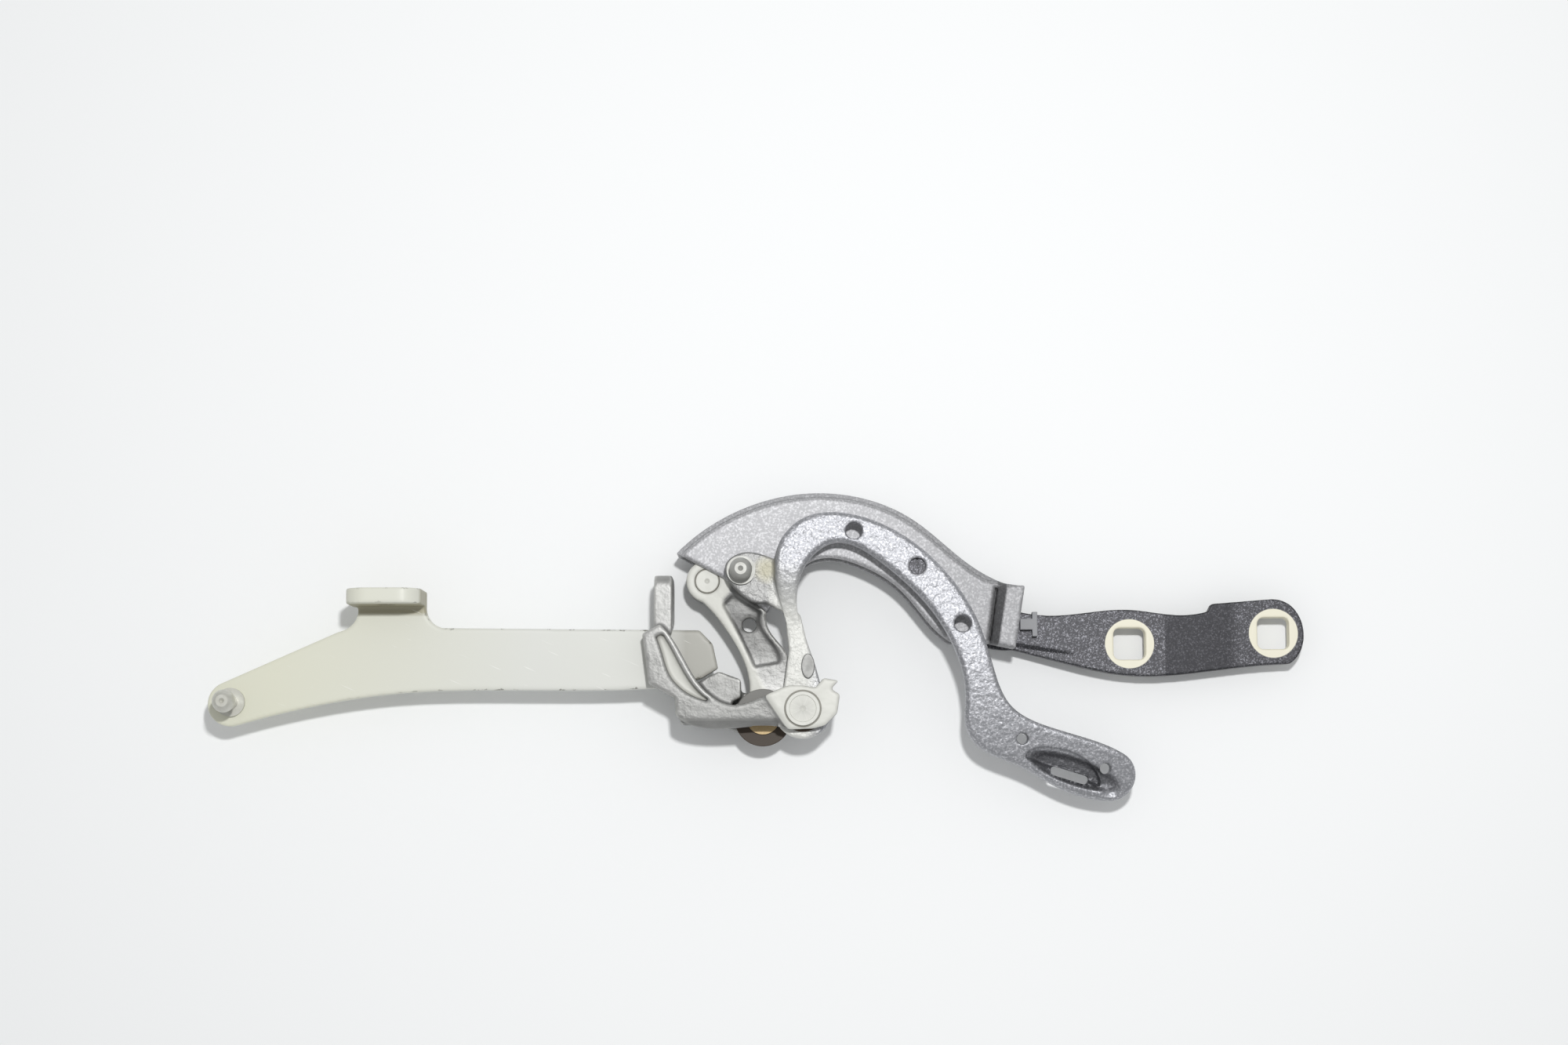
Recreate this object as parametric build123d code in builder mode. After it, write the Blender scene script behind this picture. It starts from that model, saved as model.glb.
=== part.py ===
import os

from build123d import *

# Boot lid hinge: a four-bar gooseneck hinge, closed, lying with its pivots upright.
# Millimetres. The main pivot stands on the Z axis, +Z points to the side that faces the boot's middle.

# Pivot places
link_pivot = (-17.7, -3.4)
link_head = (-42.6, 57.9)
lid_pivot = (51.1, 63.0)
strut_ball = (-27.2, 61.7)
arm_reach = 254.7
lid_reach = 226.2
arm_ball = (-arm_reach, 4.1)

# Levels along the pivots
arm_thick = 6.0
arm_front = -3.0
arm_back = arm_front - arm_thick
eye_back = 5.2
eye_front = 11.0
goose_thick = 9.0
goose_back = 1.0
goose_front = goose_back + goose_thick
leg_thick = 8.0
leg_front = 4.0
leg_back = leg_front - leg_thick
lobe_back = -3.0
link_thick = 6.5
link_front = -7.0
link_back = link_front - link_thick
lid_thick = 7.0
lid_front = -14.0
lid_back = lid_front - lid_thick
cover_front = -4.0
cover_back = -24.0
cover_wall = 2.0
rear_ear_front = -14.0
rear_ear_back = -20.0
ear_back = -28.0
ear_front = 3.0

# Edges
forged_edge = 1.4

# Fits
running = 0.05
gap = 0.3
swing_gap = 3.4

# Pins, bushes and studs
main_pin_r = 6.0
main_head_r = 7.6
main_tail_r = 8.0
main_tail_thick = 1.8
main_bush_wall = 1.5
link_pin_r = 5.0
link_pin_head_r = 7.5
link_bush_wall = 1.5
washer_r = 12.8
washer_thick = 1.0
rivet_r = 3.0
rivet_head_r = 5.35
lid_pin_r = 3.6
lid_pin_shoulder_r = 5.4
lid_bush_wall = 1.4
thrust_r = 10.0
ball_r = 5.05
neck_r = 3.4
stud_shank_r = 4.0
collar_r = 6.4

# Rivets through the arm into the knuckle's lug
rivet_places = [(-63.5, 26.5), (-60.5, 15.5)]
arm_rivet_r = 3.0
arm_rivet_depth = 6.0

# Holes
bolt_hole_r = 4.25
square_hole = 14.2
tool_hole_r = 3.64
foot_hole_r = 2.5
link_hole_r = 3.2

os.makedirs("parts", exist_ok=True)


# Mounting arm: stamped plate, with a tongue bent towards +Z for one body bolt
tab_left = -201.6
tab_right = -168.4
neck_left_x = -198.7
tab_low = 46.7
tab_thick = 6.8
tab_reach = 23.0
tab_middle = (tab_left + tab_right) / 2
tab_hole_z = 5.0
tab_round = 0.27 * (tab_right - tab_left)
arm_tail_r = 10.5

with BuildPart() as mounting_arm:
    with BuildSketch(Plane.XY.offset(arm_back)):
        with BuildLine():
            upper = Line((arm_ball[0] - 4.6, 12.6), (-207.4, 35.4))
            neck_curve = Spline(upper @ 1, (-201.0, 38.9), (neck_left_x, 43.4))
            neck_left = Line(neck_curve @ 1, (neck_left_x, tab_low + tab_thick))
            neck_top = Line(neck_left @ 1, (tab_right, tab_low + tab_thick))
            neck_right = Line(neck_top @ 1, (tab_right, 45.0))
            shoulder = Spline(neck_right @ 1, (-166.2, 40.2), (-161.0, 37.0))
            top = Line(shoulder @ 1, (-46.0, 35.6))
            end = Polyline(top @ 1, (-40.1, 29.5), (-37.7, 18.5), (-45.0, 14.1), (-56.0, 10.4))
            lower = Spline(end @ 1, (-140.9, 9.1), (-181.5, 7.7), (-216.5, 2.6), (arm_ball[0] + 2.7, -6.0))
            ThreePointArc(lower @ 1, (arm_ball[0] - arm_tail_r, arm_ball[1] + 0.5), upper @ 0)
        make_face()
    extrude(amount=arm_thick)
    with BuildSketch(Plane.XZ.offset(-tab_low - tab_thick)):
        with Locations((tab_middle, arm_back + (arm_thick + tab_reach) / 2)):
            RectangleRounded(tab_right - tab_left, arm_thick + tab_reach, tab_round)
        with Locations((tab_middle, arm_back + arm_thick / 2)):
            Rectangle(tab_right - tab_left, arm_thick)
    extrude(amount=tab_thick)
    with BuildSketch(Plane.XZ.offset(-tab_low - tab_thick)):
        with Locations((tab_middle, tab_hole_z)):
            Circle(bolt_hole_r)
    extrude(amount=tab_thick, mode=Mode.SUBTRACT)
    with BuildSketch(Plane.XY.offset(arm_back)):
        with Locations(arm_ball):
            Circle(stud_shank_r)
        with Locations(*rivet_places):
            Circle(arm_rivet_r)
    extrude(amount=arm_thick, mode=Mode.SUBTRACT)
mounting_arm.part.label = "mounting_arm"
export_step(mounting_arm.part, "parts/mounting_arm.step")


def ball_stud(place, seat, shank_length, ball_height):
    """Turned strut stud: pressed shank, round collar, neck and a flat-topped ball with a centre mark."""
    collar_thick = 2.2
    flat_height = 4.3
    mark_r = 1.2
    mark_depth = 1.0
    neck_meets_ball = (ball_r**2 - neck_r**2) ** 0.5
    flat_r = (ball_r**2 - flat_height**2) ** 0.5
    with BuildPart() as stud:
        with BuildSketch(Plane.XZ):
            with BuildLine():
                shank = Polyline((0, -shank_length), (stud_shank_r, -shank_length), (stud_shank_r, 0))
                collar = Polyline(shank @ 1, (collar_r, 0), (collar_r, collar_thick), (neck_r, collar_thick))
                neck = Line(collar @ 1, (neck_r, ball_height - neck_meets_ball))
                ball = ThreePointArc(neck @ 1, (ball_r, ball_height), (flat_r, ball_height + flat_height))
                mark_floor = ball_height + flat_height - mark_depth
                mark = Polyline(ball @ 1, (mark_r, ball_height + flat_height), (0, mark_floor))
                Line(mark @ 1, shank @ 0)
            make_face()
        revolve(axis=Axis.Z)
    return stud.part.moved(Location((place[0], place[1], seat)))


arm_ball_stud = ball_stud(arm_ball, arm_front, arm_thick, 16.0)
arm_ball_stud.label = "arm_ball_stud"
export_step(arm_ball_stud, "parts/arm_ball_stud.step")

strut_ball_stud = ball_stud(strut_ball, leg_front, leg_front - lobe_back, 7.5)
strut_ball_stud.label = "strut_ball_stud"
export_step(strut_ball_stud, "parts/strut_ball_stud.step")


# Knuckle: one forging with an upright ear for the body bolt, a lug on the arm, a leg and the two pivot eyes
ear_left = -66.0
ear_right = -58.0
ear_low = 38.0
ear_high = 60.0
ear_root = 12.0
ear_hole = (49.0, -15.0)
rear_eye_r = 11.0
thin_from = -22.0
spot_step = 1.0
valley_floor = 5.5
slope_left = -90.0
slope_right = -11.0
slope_top = -4.4
slope_low = -12.0
slope_deep = -1.0
block_left = -54.5
block_right = -31.5
shelf_right = -27.6
block_low = -6.4
block_high = 8.6

with BuildPart() as knuckle:
    with BuildSketch(Plane.XY.offset(arm_front)):
        with BuildLine():
            lug_top = Line((-71.0, 33.4), (-63.0, 37.6))
            sweep_in = Spline(
                lug_top @ 1, (-52.0, 21.3), (-43.5, 8.6), (-31.0, 1.8), (-20.9, 4.1), (-6.5, 10.2),
            )
            eye_top = Line(sweep_in @ 1, (0, 10.2))
            claw = Polyline(eye_top @ 1, (5.6, 9.2), (9.2, 13.5), (15.9, 12.3), (12.4, 8.6), (16.4, 6.2))
            nose = Polyline(claw @ 1, (15.2, -2.1), (9.9, -7.4), (4.7, -8.8), (-6.5, -9.2))
            under = Spline(nose @ 1, (-28.6, -8.1), (-50.0, -6.6), (-56.0, -3.0))
            Polyline(under @ 1, (-56.6, 4.8), (-68.1, 11.2), lug_top @ 0)
        make_face()
    extrude(amount=eye_front - arm_front)
    with BuildSketch(Plane.XY.offset(eye_front - spot_step)):
        with BuildLine():
            Polyline((-37.1, 36.9), (-6.5, -8.4), (3.7, -23.5), (-100.0, -23.5), (-100.0, 60.0), close=True)
        make_face()
    extrude(amount=spot_step, mode=Mode.SUBTRACT)
    with BuildSketch(Plane.YZ.offset(slope_left)):
        with BuildLine():
            Polyline((slope_top, eye_front), (slope_low, eye_front), (slope_low, slope_deep), close=True)
        make_face()
    extrude(amount=slope_right - slope_left, mode=Mode.SUBTRACT)
    with BuildSketch(Plane.XY.offset(valley_floor)):
        with BuildLine():
            valley_rim = Spline((-62.0, 33.6), (-54.4, 20.0), (-46.2, 8.0), (-38.0, 2.6))
            valley_side = Spline(
                valley_rim @ 1, (-45.0, 4.2), (-53.0, 8.4), (-58.6, 14.5), (-62.4, 25.0), (-65.0, 32.0),
            )
            Line(valley_side @ 1, valley_rim @ 0)
        make_face()
    extrude(amount=eye_front - valley_floor, mode=Mode.SUBTRACT)
    with BuildSketch(Plane.XY.offset(arm_front)):
        with Locations((thin_from, -20.0)):
            Rectangle(60.0, 60.0, align=(Align.MIN, Align.MIN))
    extrude(amount=eye_back - arm_front, mode=Mode.SUBTRACT)
    with BuildSketch(Plane.XY.offset(rear_ear_back)):
        with BuildLine():
            shelf_left = Line((block_left, block_low), (block_left, block_high))
            shelf_top = Polyline(
                shelf_left @ 1, (-45.2, 13.0), (-37.4, 17.2), (shelf_right, 13.6), (shelf_right, 5.5),
            )
            Polyline(shelf_top @ 1, (block_right, 3.5), (block_right, block_low), shelf_left @ 0)
        make_face()
    extrude(amount=arm_front - rear_ear_back)
    with BuildSketch(Plane.XY.offset(rear_ear_back)):
        with Locations(link_pivot):
            Circle(rear_eye_r)
        with BuildLine():
            back_low = Line((block_right - 6.0, block_low), (link_pivot[0], link_pivot[1] - rear_eye_r))
            back_side = Line(back_low @ 1, (link_pivot[0], link_pivot[1] + rear_eye_r))
            Polyline(back_side @ 1, (block_right - 6.0, block_high), back_low @ 0)
        make_face()
    extrude(amount=rear_ear_front - rear_ear_back)
    with BuildSketch(Plane.YZ.offset(ear_left)):
        with Locations(((ear_low + ear_high) / 2, (ear_front + ear_back) / 2)):
            RectangleRounded(ear_high - ear_low, ear_front - ear_back, 5.0)
        with Locations((ear_low - 4.0, arm_front)):
            Rectangle(ear_root, ear_front - arm_front, align=(Align.MIN, Align.MIN))
        with Locations(ear_hole):
            Circle(bolt_hole_r, mode=Mode.SUBTRACT)
    extrude(amount=ear_right - ear_left)
    Hole(main_pin_r)
    with BuildSketch(Plane.XY.offset(rear_ear_back)):
        with Locations(link_pivot):
            Circle(link_pin_r)
    extrude(amount=rear_ear_front - rear_ear_back, mode=Mode.SUBTRACT)
    with BuildSketch(Plane.XY.offset(arm_front)):
        with Locations(*rivet_places):
            Circle(arm_rivet_r)
    extrude(amount=arm_rivet_depth, mode=Mode.SUBTRACT)
knuckle.part.label = "knuckle"
export_step(knuckle.part, "parts/knuckle.step")


def turned(place, profile):
    """Solid of revolution about an upright axis at a place, from its half profile of radius and height."""
    with BuildPart() as piece:
        with BuildSketch(Plane.XZ):
            with BuildLine():
                Polyline(*profile, close=True)
            make_face()
        revolve(axis=Axis.Z)
    return piece.part.moved(Location((place[0], place[1], 0)))


# Rivets that hold the knuckle's lug on the arm, driven from behind
arm_rivet_head_r = 5.4
arm_rivet_head = 2.2
rivet_profile = [
    (0, arm_back - arm_rivet_head),
    (arm_rivet_head_r - 1.2, arm_back - arm_rivet_head),
    (arm_rivet_head_r, arm_back),
    (arm_rivet_r, arm_back),
    (arm_rivet_r, arm_front + arm_rivet_depth),
    (0, arm_front + arm_rivet_depth),
]
arm_rivets = Compound(children=[turned(place, rivet_profile) for place in rivet_places])
arm_rivets.label = "arm_rivets"
export_step(arm_rivets, "parts/arm_rivets.step")

# Main pivot: headed pin pressed in the knuckle's eye, with a tail that keeps the gooseneck on
main_head = 1.2
ring_depth = 0.6
main_tail_top = leg_back + gap / 2 + main_tail_thick
main_pivot_pin = turned(
    (0, 0),
    [
        (0, leg_back + gap / 2),
        (main_tail_r, leg_back + gap / 2),
        (main_tail_r, main_tail_top),
        (main_pin_r, main_tail_top),
        (main_pin_r, eye_front),
        (main_head_r, eye_front),
        (main_head_r, eye_front + main_head - 0.3),
        (main_head_r - 0.3, eye_front + main_head),
        (main_head_r - 1.6, eye_front + main_head),
        (main_head_r - 1.8, eye_front + main_head - ring_depth),
        (1.3, eye_front + main_head - ring_depth),
        (0, eye_front + main_head - 2 * ring_depth),
    ],
)
main_pivot_pin.label = "main_pivot_pin"
export_step(main_pivot_pin, "parts/main_pivot_pin.step")

main_bush_r = main_pin_r + running + main_bush_wall
counterbore_floor = main_tail_top + gap / 2
main_pivot_bush = turned(
    (0, 0),
    [
        (main_pin_r + running, counterbore_floor),
        (main_bush_r, counterbore_floor),
        (main_bush_r, leg_front),
        (main_pin_r + running, leg_front),
    ],
)
main_pivot_bush.label = "main_pivot_bush"
export_step(main_pivot_bush, "parts/main_pivot_bush.step")

thrust_washer = turned(
    (0, 0),
    [
        (main_pin_r, leg_front + running),
        (thrust_r, leg_front + running),
        (thrust_r, eye_back),
        (main_pin_r, eye_back),
    ],
)
thrust_washer.label = "thrust_washer"
export_step(thrust_washer, "parts/thrust_washer.step")

# Link pivot: headed pin pressed in the knuckle's rear eye, a bush in the link, and a wide brown washer
link_bush_r = link_pin_r + running + link_bush_wall
washer_back = link_front
washer_front = washer_back + washer_thick
link_pin_head_back = washer_front + running
link_pin_head = 1.2
link_pivot_pin = turned(
    link_pivot,
    [
        (0, rear_ear_back),
        (link_pin_r, rear_ear_back),
        (link_pin_r, link_pin_head_back),
        (link_pin_head_r, link_pin_head_back),
        (link_pin_head_r, link_pin_head_back + link_pin_head),
        (0, link_pin_head_back + link_pin_head),
    ],
)
link_pivot_pin.label = "link_pivot_pin"
export_step(link_pivot_pin, "parts/link_pivot_pin.step")

link_bush = turned(
    link_pivot,
    [
        (link_pin_r + running, link_back),
        (link_bush_r, link_back),
        (link_bush_r, link_front),
        (link_pin_r + running, link_front),
    ],
)
link_bush.label = "link_bush"
export_step(link_bush, "parts/link_bush.step")

link_washer = turned(
    link_pivot,
    [
        (link_pin_r + running, washer_back),
        (washer_r, washer_back),
        (washer_r, washer_front - 0.3),
        (washer_r - 0.3, washer_front),
        (link_pin_r + running, washer_front),
    ],
)
link_washer.label = "link_washer"
export_step(link_washer, "parts/link_washer.step")

# Rivet in the link's head: flush in front, with a free tail in the lid arm's wide hole
rivet_head = 2.0
link_rivet = turned(
    link_head,
    [
        (0, lid_back + 0.4),
        (rivet_r, lid_back + 0.4),
        (rivet_r, link_front - rivet_head),
        (rivet_head_r, link_front - rivet_head),
        (rivet_head_r, link_front),
        (1.2, link_front),
        (0, link_front - 0.8),
    ],
)
link_rivet.label = "link_rivet"
export_step(link_rivet, "parts/link_rivet.step")

# Control link: forged strap with a raised rim round a sunk face
link_eye_r = 9.45
link_boss_r = 9.4
link_sunk = 1.0
link_hole = (-23.7, 38.2)
with BuildPart() as control_link:
    with BuildSketch(Plane.XY.offset(link_back)) as link_face:
        with BuildLine():
            left_side = Spline((-50.6, 53.0), (-41.0, 45.0), (-33.5, 35.2), (-24.5, 16.5), (-24.6, 2.8))
            foot_end = Line(left_side @ 1, (link_pivot[0], link_pivot[1]))
            foot_right = Line(foot_end @ 1, (-8.7, 0.0))
            right_side = Spline(foot_right @ 1, (-6.3, 12.0), (-6.5, 24.5), (-13.4, 33.6), (-16.0, 44.2))
            Polyline(right_side @ 1, (-34.0, 62.0), link_head, left_side @ 0)
        make_face()
        with Locations(link_head):
            Circle(link_eye_r)
        with Locations(link_pivot):
            Circle(link_boss_r)
    extrude(amount=link_thick)
    with BuildSketch(Plane.XY.offset(link_front - link_sunk)):
        with BuildLine():
            sunk_left = Spline((-36.0, 47.0), (-29.8, 36.5), (-21.5, 19.0))
            sunk_low = Line(sunk_left @ 1, (-10.0, 21.0))
            sunk_right = Spline(sunk_low @ 1, (-10.5, 25.5), (-16.4, 34.0), (-18.6, 44.0))
            Polyline(sunk_right @ 1, (-31.0, 52.0), sunk_left @ 0)
        make_face()
    extrude(amount=link_sunk, mode=Mode.SUBTRACT)
    with BuildSketch(Plane.XY.offset(link_back)):
        with Locations(link_hole):
            Circle(link_hole_r)
        with Locations(link_pivot):
            Circle(link_bush_r)
        with Locations(link_head):
            Circle(rivet_r)
    extrude(amount=link_thick, mode=Mode.SUBTRACT)
    with BuildSketch(Plane.XY.offset(link_front - rivet_head)):
        with Locations(link_head):
            Circle(rivet_head_r)
    extrude(amount=rivet_head, mode=Mode.SUBTRACT)
control_link.part.label = "control_link"
export_step(control_link.part, "parts/control_link.step")

# Gooseneck: thick arched arm whose foot bends back, with a low leg on the main pivot and a lobe for the strut
goose_eye_r = 13.0
leg_split = 36.0
bend_start = 30.0
bend_r = 170.0
bend_angle = 32.0
bend_middle = (bend_start, goose_front - bend_r)
beyond_arch = 100.0
beyond_toe = 150.0
foot_low = -18.0
arch_holes = [(23.0, 78.8), (70.9, 37.4)]
foot_holes = [(97.2, -13.3), (134.2, -26.6)]
dish_plane = Plane(origin=(115.0, -25.0, -2.8), x_dir=(1, 0, 0), z_dir=(0, -0.34, 0.94))
foot_slot_middle = (118.5, -29.6)
foot_slot_length = 18.0
foot_slot_width = 4.0
foot_slope = -17.0
with BuildPart() as gooseneck:
    with BuildSketch(Plane.XY.offset(foot_low)):
        with BuildLine():
            back_of_arch = Spline(
                (-6.4, leg_split), (-9.0, 44.8), (-12.0, 57.0), (-10.5, 73.0), (1.2, 85.0), (14.1, 87.3),
                (32.7, 83.2), (61.4, 63.2), (76.8, 40.6), (83.8, 20.5), (91.8, 1.6), (111.1, -8.8),
                (141.5, -19.7),
            )
            toe = ThreePointArc(back_of_arch @ 1, (147.8, -30.3), (137.3, -41.0))
            sole = Spline(toe @ 1, (112.1, -34.2), (96.7, -25.6), (77.1, -16.0), (71.9, -0.9))
            inside = Spline(
                sole @ 1, (70.8, 16.3), (59.6, 40.6), (37.6, 63.2), (13.1, 73.5), (1.4, 63.6),
                (-1.8, 55.0), (-0.4, leg_split),
            )
            Line(inside @ 1, back_of_arch @ 0)
        make_face()
    extrude(amount=goose_front - foot_low)
    with BuildSketch(Plane.YZ.offset(-beyond_arch)):
        with BuildLine():
            front_bend = CenterArc(bend_middle, bend_r, 90, bend_angle)
            back_bend = CenterArc(bend_middle, bend_r - goose_thick, 90, bend_angle)
            Line(front_bend @ 1, back_bend @ 1)
            Polyline(front_bend @ 0, (beyond_arch, goose_front), (beyond_arch, goose_back), back_bend @ 0)
        make_face()
    extrude(amount=beyond_arch + beyond_toe, mode=Mode.INTERSECT)
    arch_face = gooseneck.faces().filter_by(Axis.Z).sort_by(Axis.Z)[-1]
    chamfer(arch_face.edges().filter_by(GeomType.BSPLINE), forged_edge)
    with BuildSketch(Plane.XY.offset(leg_back)):
        Circle(goose_eye_r)
        with BuildLine():
            Polyline(
                (-7.6, 42.0), (-0.9, 42.0), (1.7, 31.0), (5.9, 18.8), (8.5, 9.0), (-8.5, 9.0),
                (-6.0, 26.0), close=True,
            )
        make_face()
    extrude(amount=leg_thick)
    with BuildSketch(Plane.XY.offset(lobe_back)):
        with BuildLine():
            lobe_top = Spline(
                (-11.0, 66.0), (-19.0, 69.2), (-28.0, 69.4), (-34.3, 64.0), (-32.0, 56.0), (-16.7, 47.4),
            )
            Polyline(lobe_top @ 1, (-7.5, 43.0), lobe_top @ 0)
        make_face()
    extrude(amount=leg_front - lobe_back)
    with BuildSketch(Plane.XY.offset(foot_low)):
        with Locations(*arch_holes):
            Circle(tool_hole_r)
        with Locations(lid_pivot):
            Circle(lid_pin_r)
        with Locations(*foot_holes):
            Circle(foot_hole_r)
        with Locations(strut_ball):
            Circle(stud_shank_r)
        Circle(main_bush_r)
        with Locations(Location(foot_slot_middle, foot_slope)):
            SlotOverall(foot_slot_length, foot_slot_width)
    extrude(amount=goose_front - foot_low, mode=Mode.SUBTRACT)
    with BuildSketch(Plane.XY.offset(leg_back)):
        Circle(main_tail_r + gap)
    extrude(amount=counterbore_floor - leg_back, mode=Mode.SUBTRACT)
    with BuildSketch(dish_plane):
        with BuildLine():
            brow = Spline((-16.5, 4.3), (-14.5, 7.9), (-9.5, 9.2), (15.0, -1.5), (17.5, -9.6))
            Line(brow @ 1, brow @ 0)
        make_face()
    extrude(amount=goose_thick, mode=Mode.SUBTRACT)
gooseneck.part.label = "gooseneck"
export_step(gooseneck.part, "parts/gooseneck.step")

# Worn oval pad on the leg, where the gooseneck meets its stop
pad_middle = (2.4, 19.0)
pad_half = (3.0, 5.6)
pad_thick = 0.8
with BuildPart() as stop_pad:
    with BuildSketch(Plane.XY.offset(leg_front)):
        with Locations(pad_middle):
            Ellipse(*pad_half)
    extrude(amount=pad_thick)
stop_pad.part.label = "stop_pad"
export_step(stop_pad.part, "parts/stop_pad.step")

# Lid pivot: slotted pin pressed in the arch's middle hole, with a shoulder that spaces the lid arm
lid_pin_top = goose_front - 2.5
lid_pin_end = lid_back + 0.3
slot_wide = 1.0
slot_deep = 1.4
lid_bush_r = lid_pin_r + running + lid_bush_wall
with BuildPart() as lid_pivot_pin:
    with BuildSketch(Plane.XY.offset(lid_pin_end)):
        with Locations(lid_pivot):
            Circle(lid_pin_r)
    extrude(amount=lid_pin_top - lid_pin_end)
    with BuildSketch(Plane.XY.offset(lid_front + gap)):
        with Locations(lid_pivot):
            Circle(lid_pin_shoulder_r)
    extrude(amount=goose_back - lid_front - gap)
    with BuildSketch(Plane.XY.offset(lid_pin_top - slot_deep)):
        with Locations(lid_pivot):
            Rectangle(slot_wide, 2 * lid_pin_shoulder_r)
    extrude(amount=slot_deep, mode=Mode.SUBTRACT)
lid_pivot_pin.part.label = "lid_pivot_pin"
export_step(lid_pivot_pin.part, "parts/lid_pivot_pin.step")

lid_pivot_bush = turned(
    lid_pivot,
    [
        (lid_pin_r + running, lid_back),
        (lid_bush_r, lid_back),
        (lid_bush_r, lid_front),
        (lid_pin_r + running, lid_front),
    ],
)
lid_pivot_bush.label = "lid_pivot_bush"
export_step(lid_pivot_bush, "parts/lid_pivot_bush.step")

# Lid arm: flat steel arm, hidden in the cover round the arch and bare beyond it
lid_lug_r = 9.4
square_places = [(147.5, 29.5), (lid_reach - 13.8, 34.0)]
square_corner = 2.6
with BuildPart() as lid_arm:
    with BuildSketch(Plane.XY.offset(lid_back)):
        with Locations(link_head):
            Circle(lid_lug_r)
        with BuildLine():
            arch_top = Spline(
                (-48.0, 65.2), (-30.0, 80.0), (5.0, 90.0), (40.0, 82.5), (66.0, 65.0), (99.2, 43.8),
            )
            lid_top = Spline(arch_top @ 1, (114.6, 42.4), (147.8, 44.9), (169.5, 42.4), (183.2, 44.0))
            lid_step = Polyline(lid_top @ 1, (184.8, 47.4), (lid_reach - 14.2, 49.5))
            lid_end = Spline(
                lid_step @ 1, (lid_reach - 4.2, 45.2), (lid_reach, 32.0), (lid_reach - 6.6, 20.2),
            )
            lid_low = Spline(lid_end @ 1, (191.2, 18.0), (146.8, 15.2), (117.4, 21.1), (95.0, 27.0))
            arch_low = Spline(
                lid_low @ 1, (74.0, 32.0), (57.0, 46.0), (38.0, 62.0), (8.0, 75.5), (-22.0, 66.0),
                (-36.0, 51.2),
            )
            Polyline(arch_low @ 1, link_head, arch_top @ 0)
        make_face()
        with Locations(link_head):
            Circle(rivet_r + swing_gap, mode=Mode.SUBTRACT)
        with Locations(lid_pivot):
            Circle(lid_bush_r, mode=Mode.SUBTRACT)
        with Locations(*square_places):
            RectangleRounded(square_hole, square_hole, square_corner, mode=Mode.SUBTRACT)
    extrude(amount=lid_thick)
lid_arm.part.label = "lid_arm"
export_step(lid_arm.part, "parts/lid_arm.step")

# Cover: painted channel over the arch, open on its inner side, with a solid end that grips the lid arm
end_block = 88.0
end_front = 0.5
cover_bevel = 2.6
groove_wide = 1.6
groove_deep = 0.9
with BuildPart() as hinge_cover:
    with BuildSketch(Plane.XY.offset(cover_back)):
        with BuildLine():
            rim = Spline((-56.6, 70.3), (-23.3, 91.8), (7.8, 97.5), (49.5, 85.7), (74.2, 65.7), (91.1, 56.3))
            brow_end = Polyline(rim @ 1, (99.5, 55.0), (95.0, 27.0), (83.0, 29.5), (66.0, 30.0))
            mouth = Spline(
                brow_end @ 1, (56.5, 38.5), (44.6, 52.8), (29.2, 63.2), (5.0, 66.7), (-7.0, 56.0),
                (-16.0, 44.0),
            )
            Polyline(mouth @ 1, (-35.2, 58.9), rim @ 0)
        make_face()
    extrude(amount=cover_front - cover_back)
    chamfer(hinge_cover.faces().sort_by(Axis.Z)[-1].edges().sort_by(SortBy.LENGTH)[-1], cover_bevel)
    with BuildSketch(Plane.XY.offset(cover_back + cover_wall)):
        with BuildLine():
            rim_in = Spline(
                (-57.0, 66.3), (-22.6, 89.6), (7.8, 95.4), (48.6, 83.9), (72.8, 64.0), (83.5, 57.2),
            )
            Polyline(
                rim_in @ 1, (81.5, 27.0), (60.0, 15.0), (20.0, 40.0), (-16.0, 30.0), (-66.0, 55.0),
                rim_in @ 0,
            )
        make_face()
    extrude(amount=cover_front - cover_back - 2 * cover_wall, mode=Mode.SUBTRACT)
    with BuildSketch(Plane.XY.offset(lid_back)):
        with Locations((70.0, 10.0)):
            Rectangle(40.0, 43.2, align=(Align.MIN, Align.MIN))
    extrude(amount=lid_thick, mode=Mode.SUBTRACT)
    with BuildSketch(Plane.XY.offset(cover_front)):
        with BuildLine():
            Polyline((end_block, 54.4), (99.5, 55.0), (95.0, 27.0), (84.5, 29.2), close=True)
        make_face()
    extrude(amount=end_front - cover_front)
    with BuildSketch(Plane.XY.offset(cover_front - groove_deep)):
        with BuildLine():
            Polyline(
                (end_block, 54.4), (end_block - groove_wide, 55.4), (84.5 - groove_wide, 29.6),
                (84.5, 29.2), close=True,
            )
        make_face()
    extrude(amount=groove_deep, mode=Mode.SUBTRACT)
    with BuildSketch(Plane.XY.offset(cover_front - cover_wall)):
        with Locations(lid_pivot):
            Circle(lid_pin_shoulder_r + gap)
    extrude(amount=cover_wall, mode=Mode.SUBTRACT)
hinge_cover.part.label = "hinge_cover"
export_step(hinge_cover.part, "parts/hinge_cover.step")

# T-shaped clip that holds the cover's end on the lid arm
clip_thick = 3.5
clip_bar = (104.6, 38.3)
with BuildPart() as cover_clip:
    with BuildSketch(Plane.XY.offset(lid_front)):
        with Locations(clip_bar):
            Rectangle(2.4, 11.0)
        with Locations((clip_bar[0] - 3.6, clip_bar[1])):
            Rectangle(6.0, 5.0)
    extrude(amount=clip_thick)
cover_clip.part.label = "cover_clip"
export_step(cover_clip.part, "parts/cover_clip.step")
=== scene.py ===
# %% [markdown]
# # A boot lid hinge
# The hinge lies flat with its pivots upright: a cream mounting arm on the left, a forged knuckle with two
# pivots, an arched gooseneck, and a dark lid arm that comes out of a painted cover. Every piece is rigid
# metal or moulding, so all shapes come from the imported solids, and this lesson gives them their edges,
# finishes, light and camera.

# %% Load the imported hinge
import math

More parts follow.
